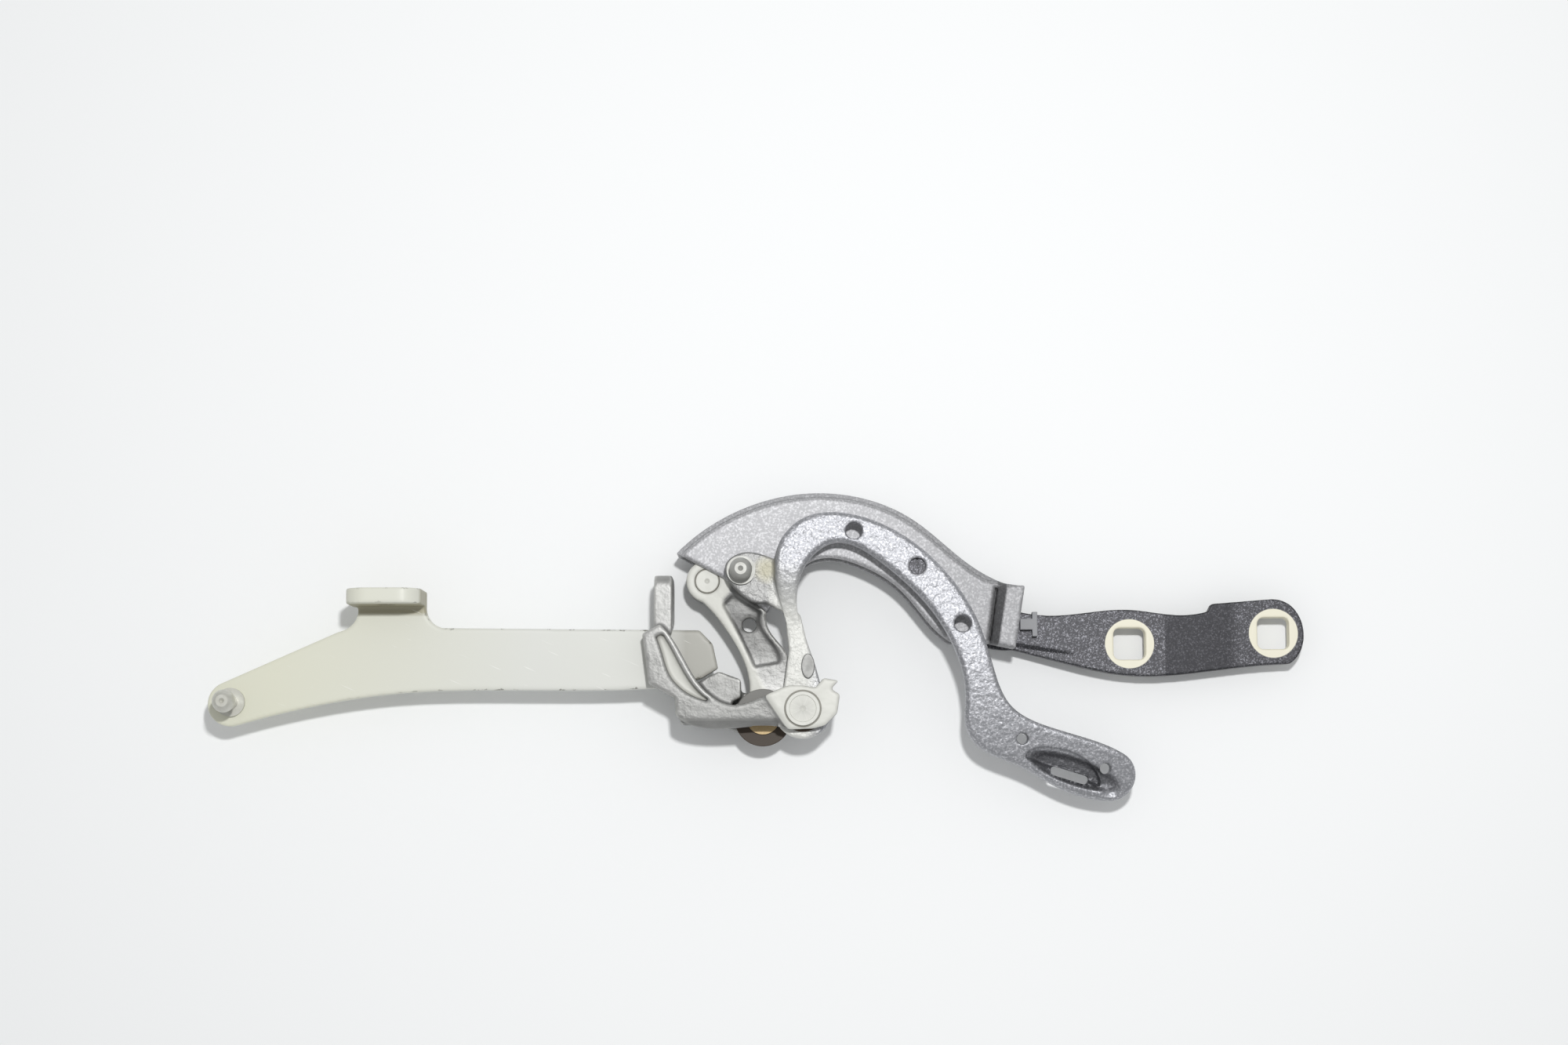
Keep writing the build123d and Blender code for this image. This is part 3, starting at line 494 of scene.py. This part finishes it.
# Painted shade on the slope of the end block
from_slope = add(tree, "ShaderNodeVectorMath", {0: place, 1: SLOPE_POINT}, operation="SUBTRACT")
along = add(tree, "ShaderNodeVectorMath", {
    0: from_slope.outputs["Vector"], 1: SLOPE_NORMAL}, operation="DOT_PRODUCT")
off_slope = add(tree, "ShaderNodeMapRange", {
    "Value": along.outputs["Value"], "From Min": SLOPE_RUN - 0.6 * MM, "From Max": SLOPE_RUN})
on_slope = add(tree, "ShaderNodeMapRange", {
    "Value": along.outputs["Value"], "From Min": -0.4 * MM, "From Max": 0.2 * MM,
    "To Min": 1.0, "To Max": SLOPE_SHADE})
slope_darkening = add(tree, "ShaderNodeMath", {
    0: off_slope.outputs["Result"], 1: on_slope.outputs["Result"]}, operation="MAXIMUM")
# Darker towards the cover's right end
across = add(tree, "ShaderNodeMapRange", {
    "Value": add(tree, "ShaderNodeSeparateXYZ", {"Vector": place}).outputs["X"],
    "From Min": RIGHT_END_X[0], "From Max": RIGHT_END_X[1], "To Min": 1.0, "To Max": RIGHT_END_SHARE})
shade_multiplier = add(tree, "ShaderNodeMath", {0: across.outputs["Result"], 1: slope_darkening.outputs[0]}, operation="MULTIPLY")
painted_shade = add(tree, "ShaderNodeMath", {
    0: hollow_shade.outputs["Result"], 1: shade_multiplier.outputs[0]}, operation="MULTIPLY")
shaded = add(tree, "ShaderNodeMix", {
    FACTOR: 1.0, COLOUR_A: tone.outputs[MIXED], COLOUR_B: painted_shade.outputs[0]},
    data_type="RGBA", blend_type="MULTIPLY")
tree.links.new(shaded.outputs[MIXED], coat.inputs["Base Color"])
coat.inputs["Metallic"].default_value = 0.45
coat.inputs["Roughness"].default_value = 0.56
skin = add(tree, "ShaderNodeBump", {"Height": flakes.outputs["Fac"], "Strength": 0.12, "Distance": 0.1 * MM})
tree.links.new(skin.outputs["Normal"], coat.inputs["Normal"])
print("silver paint on the cover")

# %% [markdown]
# ## Dark metallic paint on the lid arm, with bare rings
# The lid arm has dark metallic paint, with specks drawn coarser than real flakes so that they show.
# Between the holes lies a stamped field where the paint is smoother and darker. Round each square hole a
# bolt washer kept the paint off, so a round of cream primer shows, and the hole's walls are cream too. A
# loose disc could lie there, but a real ring has no thickness, so the paint simply stops at a distance
# from each hole's middle.

# %% Dark metallic paint: flakes and smooth field
LID_GREY = "#434346"
LID_FLAKE = "#8E8E94"
LID_FLAKE_SIZE = 0.65
LID_SMOOTH = "#2E2E31"
SMOOTH_LEFT_X = (163 * MM, 164 * MM)
SMOOTH_RIGHT_X = (198 * MM, 192 * MM)

tree, coat, place = finish("metallic_paint_dark_on_steel")
flakes = add(tree, "ShaderNodeTexNoise", {
    "Vector": place, "Scale": grain(LID_FLAKE_SIZE), "Detail": 3.0, "Roughness": 0.6})
glint = add(tree, "ShaderNodeMapRange", {"Value": flakes.outputs["Fac"], "From Min": 0.51, "From Max": 0.72})
tone = add(tree, "ShaderNodeMix", {
    FACTOR: glint.outputs["Result"], COLOUR_A: linear(LID_GREY), COLOUR_B: linear(LID_FLAKE)},
    data_type="RGBA")
position = add(tree, "ShaderNodeSeparateXYZ", {"Vector": place})
after = add(tree, "ShaderNodeMapRange", {
    "Value": position.outputs["X"], "From Min": SMOOTH_LEFT_X[0], "From Max": SMOOTH_LEFT_X[1]})
before = add(tree, "ShaderNodeMapRange", {
    "Value": position.outputs["X"], "From Min": SMOOTH_RIGHT_X[0], "From Max": SMOOTH_RIGHT_X[1],
    "To Max": 0.7})
smooth = add(tree, "ShaderNodeMath", {
    0: after.outputs["Result"], 1: before.outputs["Result"]}, operation="MULTIPLY")
fielded = add(tree, "ShaderNodeMix", {
    FACTOR: smooth.outputs[0], COLOUR_A: tone.outputs[MIXED], COLOUR_B: linear(LID_SMOOTH)}, data_type="RGBA")
print("dark paint with a smooth field")

# %% Dark metallic paint: bare rings, gloss and lumps
RING_CREAM = "#E8E4D0"
RING_RADIUS = 11.0 * MM
RING_SOFT = 0.2 * MM
HOLE_RADIUS = 9.2 * MM
HOLES = (Vector((147.5, 29.5, 0.0)) * MM, Vector((212.4, 34.0, 0.0)) * MM)
LID_LUMPS = 1.8
lid_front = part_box("lid_arm")[1][2]

front = add(tree, "ShaderNodeMapRange", {
    "Value": position.outputs["Z"], "From Min": lid_front - 0.9 * MM, "From Max": lid_front - 0.6 * MM})
in_plan = add(tree, "ShaderNodeVectorMath", {0: place, 1: FLATTEN}, operation="MULTIPLY").outputs["Vector"]
reaches = []
for hole in HOLES:
    reach = add(tree, "ShaderNodeVectorMath", {0: in_plan, 1: hole}, operation="DISTANCE")
    reaches.append(reach.outputs["Value"])
nearest = add(tree, "ShaderNodeMath", {0: reaches[0], 1: reaches[1]}, operation="MINIMUM").outputs[0]
under_washer = add(tree, "ShaderNodeMapRange", {
    "Value": nearest, "From Min": RING_RADIUS + RING_SOFT, "From Max": RING_RADIUS - RING_SOFT})
washer = add(tree, "ShaderNodeMath", {
    0: under_washer.outputs["Result"], 1: front.outputs["Result"]}, operation="MULTIPLY")
in_hole = add(tree, "ShaderNodeMath", {0: nearest, 1: HOLE_RADIUS}, operation="LESS_THAN")
ring = add(tree, "ShaderNodeMath", {0: washer.outputs[0], 1: in_hole.outputs[0]}, operation="MAXIMUM")
painted = add(tree, "ShaderNodeMix", {
    FACTOR: ring.outputs[0], COLOUR_A: fielded.outputs[MIXED], COLOUR_B: linear(RING_CREAM)},
    data_type="RGBA")
tree.links.new(painted.outputs[MIXED], coat.inputs["Base Color"])
metal = add(tree, "ShaderNodeMapRange", {"Value": ring.outputs[0], "To Min": 0.75, "To Max": 0.0})
tree.links.new(metal.outputs["Result"], coat.inputs["Metallic"])
coat.inputs["Roughness"].default_value = 0.5
lumps = add(tree, "ShaderNodeTexNoise", {"Vector": place, "Scale": grain(LID_LUMPS), "Detail": 3.0})
skin = add(tree, "ShaderNodeBump", {"Height": lumps.outputs["Fac"], "Strength": 0.3, "Distance": 0.25 * MM})
tree.links.new(skin.outputs["Normal"], coat.inputs["Normal"])
print("dark paint and", len(HOLES), "bare rings on the lid arm")

# %% [markdown]
# ## Small metal pieces
# Studs are turned steel with zinc plating, which is a slightly clouded silver. The arm's stud is misted
# with primer, and the link's pin has a yellow passivation that looks tan. The stop pad is plain steel,
# dulled by knocks. Bushes are sintered bronze, the thrust washer is steel with a brown phosphate coat,
# and the clip is a grey polyamide moulding. An image could show the clouds, but a noise of two near
# colours is enough on pieces this small.

# %% Zinc, bronze, phosphate and polyamide
SMALL_FINISHES = {
    # name: colour, second colour, metallic, lowest and highest roughness, grain in mm
    "steel_zinc_plated": ("#B6B7B4", "#9E9D97", 0.55, 0.46, 0.58, 2.5),
    "steel_zinc_with_primer_mist": ("#D6D6CF", "#B4B3A8", 0.5, 0.36, 0.48, 2.0),
    "steel_zinc_yellow_passivated": ("#C2AE88", "#A58C62", 0.5, 0.45, 0.58, 1.2),
    "steel_bare_dulled": ("#8C8C8A", "#636361", 0.6, 0.4, 0.5, 3.0),
    "bronze_sintered": ("#9C7A4A", "#7E6138", 1.0, 0.38, 0.52, 0.8),
    "steel_phosphate_brown": ("#33291D", "#4A3A28", 0.2, 0.45, 0.6, 1.5),
    "polyamide_grey": ("#7F8083", "#8E8F92", 0.0, 0.42, 0.5, 1.0),
}
for name, (first, second, metallic, low, high, size) in SMALL_FINISHES.items():
    tree, coat, place = finish(name)
    clouds = add(tree, "ShaderNodeTexNoise", {"Vector": place, "Scale": grain(size), "Detail": 4.0})
    tone = add(tree, "ShaderNodeMix", {
        FACTOR: clouds.outputs["Fac"], COLOUR_A: linear(first), COLOUR_B: linear(second)}, data_type="RGBA")
    tree.links.new(tone.outputs[MIXED], coat.inputs["Base Color"])
    shine = add(tree, "ShaderNodeMapRange", {"Value": clouds.outputs["Fac"], "To Min": low, "To Max": high})
    tree.links.new(shine.outputs["Result"], coat.inputs["Roughness"])
    coat.inputs["Metallic"].default_value = metallic
    skin = add(tree, "ShaderNodeBump", {
        "Height": clouds.outputs["Fac"], "Strength": 0.1, "Distance": 0.1 * MM})
    tree.links.new(skin.outputs["Normal"], coat.inputs["Normal"])
print("small finishes:", ", ".join(SMALL_FINISHES))

# %% [markdown]
# ## Finishes on the pieces
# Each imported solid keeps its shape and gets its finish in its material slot. A piece could also be copied
# and shaped anew, but then the copy would have to follow every change of the solid.

# %% Dress the pieces
WEARS = {
    "primer_cream_dipped": ("mounting_arm", "arm_rivets"),
    "primer_oversprayed_knuckle": ("knuckle", "main_pivot_pin"),
    "primer_oversprayed_link": ("control_link", "link_rivet"),
    "metallic_paint_grey_on_forging": ("gooseneck",),
    "metallic_paint_silver_on_moulding": ("hinge_cover",),
    "metallic_paint_dark_on_steel": ("lid_arm", "lid_pivot_pin"),
    "steel_zinc_plated": ("strut_ball_stud",),
    "steel_bare_dulled": ("stop_pad",),
    "steel_zinc_with_primer_mist": ("arm_ball_stud",),
    "steel_zinc_yellow_passivated": ("link_pivot_pin",),
    "bronze_sintered": ("main_pivot_bush", "link_bush", "lid_pivot_bush"),
    "steel_phosphate_dusted": ("link_washer",),
    "steel_phosphate_brown": ("thrust_washer",),
    "polyamide_grey": ("cover_clip",),
}
for material, names in WEARS.items():
    for name in names:
        piece = nodes[name]
        piece.data.materials.clear()
        piece.data.materials.append(bpy.data.materials[material])
print("dressed", sum(len(names) for names in WEARS.values()), "pieces")

# %% [markdown]
# ## Softened edges
# A small edge is never knife sharp and catches a thin line of light, so a bevel rounds it by less than a
# millimetre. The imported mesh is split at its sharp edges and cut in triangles, so a weld joins it first,
# and flat triangles are merged to whole faces. A forging flowed into its die, and paint runs round the
# edges of a stamping, so corners and hollows run into each other. There a bevel is too tidy: the mesh is
# made again in small cells and smoothed a few times, the forgings most.

# %% Bevels on small pieces
BEVELLED = ("cover_clip", "arm_rivets")
BEVEL = 0.3 * MM
SHARP = math.radians(40)
for name in BEVELLED:
    weld = nodes[name].modifiers.new("join_split_edges", "WELD")
    weld.merge_threshold = 0.005 * MM
    flat = nodes[name].modifiers.new("join_flat_triangles", "DECIMATE")
    flat.decimate_type = "DISSOLVE"
    flat.angle_limit = math.radians(0.5)
    soft = nodes[name].modifiers.new("soft_edges", "BEVEL")
    soft.width = BEVEL
    soft.segments = 2
    soft.limit_method = "ANGLE"
    soft.angle_limit = SHARP
    soft.harden_normals = True
print("soft edges on", ", ".join(BEVELLED))

# %% Flowing corners on forged and painted pieces
SMOOTHING = 0.5
FORGED = {
    # piece: size of a cell in mm, and how often the cells are smoothed
    "knuckle": (0.6, 14),
    "control_link": (0.6, 10),
    "gooseneck": (0.6, 3),
    "hinge_cover": (0.65, 1),
    "mounting_arm": (0.7, 4),
    "lid_arm": (0.5, 8),
    "stop_pad": (0.25, 8),
}
for name, (cell, rounds) in FORGED.items():
    cells = nodes[name].modifiers.new("small_cells", "REMESH")
    cells.mode = "VOXEL"
    cells.voxel_size = cell * MM
    cells.use_smooth_shade = True
    flow = nodes[name].modifiers.new("flowing_corners", "SMOOTH")
    flow.factor = SMOOTHING
    flow.iterations = rounds
print("flowing corners on", ", ".join(FORGED))

# %% [markdown]
# ## The gooseneck's run-out and dish
# Above the main pivot the arch thins smoothly to the low leg, and the foot has a long hollow round its
# slot. Both are pressed with the forging. A sculptor's brush could push the points by hand, but a few
# geometry nodes say the rule plainly: points of the arch's front sink by a share that grows towards the
# leg, and points of the foot's front sink inside an ellipse and in a round dimple at its tip.

# %% Press helpers
def open_press(title):
    """A tree that presses a piece: the tree, the shape that comes in and the place of each point."""
    press = bpy.data.node_groups.new(title, "GeometryNodeTree")
    for way in ("INPUT", "OUTPUT"):
        press.interface.new_socket("Geometry", in_out=way, socket_type="NodeSocketGeometry")
    shape = add(press, "NodeGroupInput").outputs["Geometry"]
    return press, shape, add(press, "GeometryNodeInputPosition").outputs["Position"]


def close_press(press, shape, sink, name, rounds):
    """Lowers each point by its own depth, on this piece, and smooths the result a few times."""
    down = add(press, "ShaderNodeMath", {0: sink, 1: -1.0}, operation="MULTIPLY")
    offset = add(press, "ShaderNodeCombineXYZ", {"Z": down.outputs[0]})
    pressed = add(press, "GeometryNodeSetPosition", {"Geometry": shape, "Offset": offset.outputs["Vector"]})
    add(press, "NodeGroupOutput", {"Geometry": pressed.outputs["Geometry"]})
    nodes[name].modifiers.new(press.name, "NODES").node_group = press
    settle = nodes[name].modifiers.new("settled_edges", "SMOOTH")
    settle.factor = SMOOTHING
    settle.iterations = rounds


# %% Press the run-out
LEG_FRONT = 4.0 * MM
RUN_OUT_Y = (64.0 * MM, 35.0 * MM)
RUN_OUT_RIGHT = 10.0 * MM

press, shape, point = open_press("run_out_and_dish")
axes = add(press, "ShaderNodeSeparateXYZ", {"Vector": point})
share = add(press, "ShaderNodeMapRange", {
    "Value": axes.outputs["Y"], "From Min": RUN_OUT_Y[0], "From Max": RUN_OUT_Y[1]},
    interpolation_type="SMOOTHSTEP")
above = add(press, "ShaderNodeMath", {0: axes.outputs["Z"], 1: LEG_FRONT}, operation="SUBTRACT")
proud = add(press, "ShaderNodeMath", {0: above.outputs[0], 1: 0.0}, operation="MAXIMUM")
on_left = add(press, "ShaderNodeMath", {0: axes.outputs["X"], 1: RUN_OUT_RIGHT}, operation="LESS_THAN")
sunk = add(press, "ShaderNodeMath", {0: proud.outputs[0], 1: share.outputs["Result"]}, operation="MULTIPLY")
run_out = add(press, "ShaderNodeMath", {0: sunk.outputs[0], 1: on_left.outputs[0]}, operation="MULTIPLY")
print("run-out from", round(RUN_OUT_Y[0] / MM), "to", round(RUN_OUT_Y[1] / MM), "mm above the pivot")

# %% Press the dish and the dimple
DISH_DEEP = 3.4 * MM
DIMPLE_MIDDLE = Vector((137.0, -35.0, 0.0)) * MM
DIMPLE_HALF = (5.5 * MM, 5.5 * MM)
DIMPLE_DEEP = 1.8 * MM
FACES_FRONT = 0.3

dish = add(press, "ShaderNodeMapRange", {
    "Value": ellipse_reach(press, point, DISH_MIDDLE, DISH_TURN, DISH_HALF),
    "From Min": 1.05, "From Max": 0.6, "To Max": DISH_DEEP}, interpolation_type="SMOOTHSTEP")
dimple = add(press, "ShaderNodeMapRange", {
    "Value": ellipse_reach(press, point, DIMPLE_MIDDLE, 0.0, DIMPLE_HALF),
    "From Min": 1.0, "From Max": 0.3, "To Max": DIMPLE_DEEP}, interpolation_type="SMOOTHSTEP")
deepest = add(press, "ShaderNodeMath", {
    0: dish.outputs["Result"], 1: dimple.outputs["Result"]}, operation="MAXIMUM")
facing = add(press, "ShaderNodeSeparateXYZ", {
    "Vector": add(press, "GeometryNodeInputNormal").outputs["Normal"]})
in_front = add(press, "ShaderNodeMath", {0: facing.outputs["Z"], 1: FACES_FRONT}, operation="GREATER_THAN")
foot = add(press, "ShaderNodeMath", {0: deepest.outputs[0], 1: in_front.outputs[0]}, operation="MULTIPLY")
sink = add(press, "ShaderNodeMath", {0: run_out.outputs[0], 1: foot.outputs[0]}, operation="ADD")
close_press(press, shape, sink.outputs[0], "gooseneck", 2)
print("dish", round(DISH_DEEP / MM, 1), "and dimple", round(DIMPLE_DEEP / MM, 1), "mm deep")

# %% [markdown]
# ## The cover's stepped rim and end block
# The cover's face stands a little proud of a flange that runs round it, and the left side of its end
# block slopes. The solid has a plain chamfer and an upright wall there. Loose strips could be laid on,
# but pressing the cover's own points keeps it one moulding: below the face they drop quickly by the step,
# and the block rises over its slope.

# %% Press the cover's rim and block
FACE = -4.0 * MM
FLANGE = 2.6 * MM
STEP = 1.4 * MM
STEP_RUN = 0.35 * MM
SLOPE_SHARE = 0.9

press, shape, point = open_press("rim_and_block")
height = add(press, "ShaderNodeSeparateXYZ", {"Vector": point}).outputs["Z"]
below = add(press, "ShaderNodeMath", {0: FACE, 1: height}, operation="SUBTRACT")
step = add(press, "ShaderNodeMapRange", {"Value": below.outputs[0], "From Max": STEP_RUN, "To Max": STEP})
flange = add(press, "ShaderNodeMapRange", {"Value": below.outputs[0], "From Max": FLANGE, "To Max": STEP})
rim = add(press, "ShaderNodeMath", {
    0: step.outputs["Result"], 1: flange.outputs["Result"]}, operation="SUBTRACT")
from_slope = add(press, "ShaderNodeVectorMath", {0: point, 1: SLOPE_POINT}, operation="SUBTRACT")
along = add(press, "ShaderNodeVectorMath", {
    0: from_slope.outputs["Vector"], 1: SLOPE_NORMAL}, operation="DOT_PRODUCT")
share = add(press, "ShaderNodeMapRange", {
    "Value": along.outputs["Value"], "From Min": SLOPE_RUN, "From Max": 0.0, "To Max": SLOPE_SHARE})
above = add(press, "ShaderNodeMath", {0: height, 1: FACE}, operation="SUBTRACT")
proud = add(press, "ShaderNodeMath", {0: above.outputs[0], 1: 0.0}, operation="MAXIMUM")
slope = add(press, "ShaderNodeMath", {0: proud.outputs[0], 1: share.outputs["Result"]}, operation="MULTIPLY")
sink = add(press, "ShaderNodeMath", {0: rim.outputs[0], 1: slope.outputs[0]}, operation="ADD")
close_press(press, shape, sink.outputs[0], "hinge_cover", 1)
print("stepped rim", round(FLANGE / MM, 1), "mm wide on the cover")

# %% [markdown]
# ## The lid arm's lowered strip
# Where the arm leaves the cover, a strip along its lower edge lies lower, and the step fades out before
# the first hole. It could be a cut in the solid, but a step that fades to nothing is easier to press:
# points below a line sink by a share of their height, and the share dies out along the arm.

# %% Press the lid arm's strip
STRIP_POINT = Vector((84.5, 31.2, 0.0)) * MM
STRIP_NORMAL = Vector((-0.156, -0.988, 0.0))
STRIP_STEP = (-0.2 * MM, 0.5 * MM)
STRIP_FROM, STRIP_FADE, STRIP_TO = 77 * MM, 105 * MM, 124 * MM
STRIP_SHARE = 0.26
lid_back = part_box("lid_arm")[0][2]

press, shape, point = open_press("lowered_strip")
axes = add(press, "ShaderNodeSeparateXYZ", {"Vector": point})
from_line = add(press, "ShaderNodeVectorMath", {0: point, 1: STRIP_POINT}, operation="SUBTRACT")
under = add(press, "ShaderNodeVectorMath", {
    0: from_line.outputs["Vector"], 1: STRIP_NORMAL}, operation="DOT_PRODUCT")
strip = add(press, "ShaderNodeMapRange", {
    "Value": under.outputs["Value"], "From Min": STRIP_STEP[0], "From Max": STRIP_STEP[1]})
fading = add(press, "ShaderNodeMapRange", {
    "Value": axes.outputs["X"], "From Min": STRIP_TO, "From Max": STRIP_FADE, "To Max": STRIP_SHARE})
outside = add(press, "ShaderNodeMath", {0: axes.outputs["X"], 1: STRIP_FROM}, operation="GREATER_THAN")
proud = add(press, "ShaderNodeMath", {0: axes.outputs["Z"], 1: lid_back}, operation="SUBTRACT")
share = add(press, "ShaderNodeMath", {
    0: strip.outputs["Result"], 1: fading.outputs["Result"]}, operation="MULTIPLY")
lowered = add(press, "ShaderNodeMath", {0: share.outputs[0], 1: outside.outputs[0]}, operation="MULTIPLY")
sink = add(press, "ShaderNodeMath", {0: lowered.outputs[0], 1: proud.outputs[0]}, operation="MULTIPLY")
close_press(press, shape, sink.outputs[0], "lid_arm", 1)
print("strip lowered from", round(STRIP_FROM / MM), "to", round(STRIP_TO / MM), "mm along the lid arm")

# %% [markdown]
# ## Floor and light
# The hinge was photographed in a white light tent with one lamp above and a little behind, to the right.
# The floor is a plain pale sheet. The sky of the tent gives the even light, and one soft lamp gives the
# highlight on the arch and the short shadow below the arm. A picture of a studio could light it too, but
# a plain sky and one lamp are enough, and the shadow tells where that lamp stood.

# %% Pale floor
FLOOR_WHITE = "#F6F7F7"
FLOOR_SIZE = 8.0
FLOOR_GAP = 0.2 * MM
floor_z = cad_box[0][2] - FLOOR_GAP

coat = finish("floor_matt_white")[1]
coat.inputs["Base Color"].default_value = linear(FLOOR_WHITE)
coat.inputs["Roughness"].default_value = 0.6
coat.inputs["Specular IOR Level"].default_value = 0.2
bpy.ops.mesh.primitive_plane_add(size=FLOOR_SIZE, location=(0.0, 0.0, floor_z))
floor = bpy.context.object
floor.name = "floor"
floor.data.materials.append(bpy.data.materials["floor_matt_white"])
print("floor at", round(floor_z / MM, 1), "mm")

# %% Tent and lamp
TENT_WHITE = "#FDFEFF"
TENT_LIGHT = 0.5
LAMP_PLACE = Vector((80.0, 260.0, 1200.0)) * MM
LAMP_AIM = Vector((0.0, 30.0, 0.0)) * MM
LAMP_SIZE = 70.0 * MM
LAMP_POWER = 8.5

world = bpy.data.worlds.new("light_tent")
world.use_nodes = True
tent = world.node_tree.nodes["Background"]
tent.inputs["Color"].default_value = linear(TENT_WHITE)
tent.inputs["Strength"].default_value = TENT_LIGHT
bpy.context.scene.world = world

lamp_data = bpy.data.lights.new("soft_lamp", "AREA")
lamp_data.shape = "DISK"
lamp_data.size = LAMP_SIZE
lamp_data.energy = LAMP_POWER
lamp = bpy.data.objects.new("soft_lamp", lamp_data)
lamp.location = LAMP_PLACE
lamp.rotation_euler = (LAMP_AIM - LAMP_PLACE).to_track_quat("-Z", "Y").to_euler()
bpy.context.scene.collection.objects.link(lamp)
print("lamp at", [round(v, 2) for v in lamp.location])
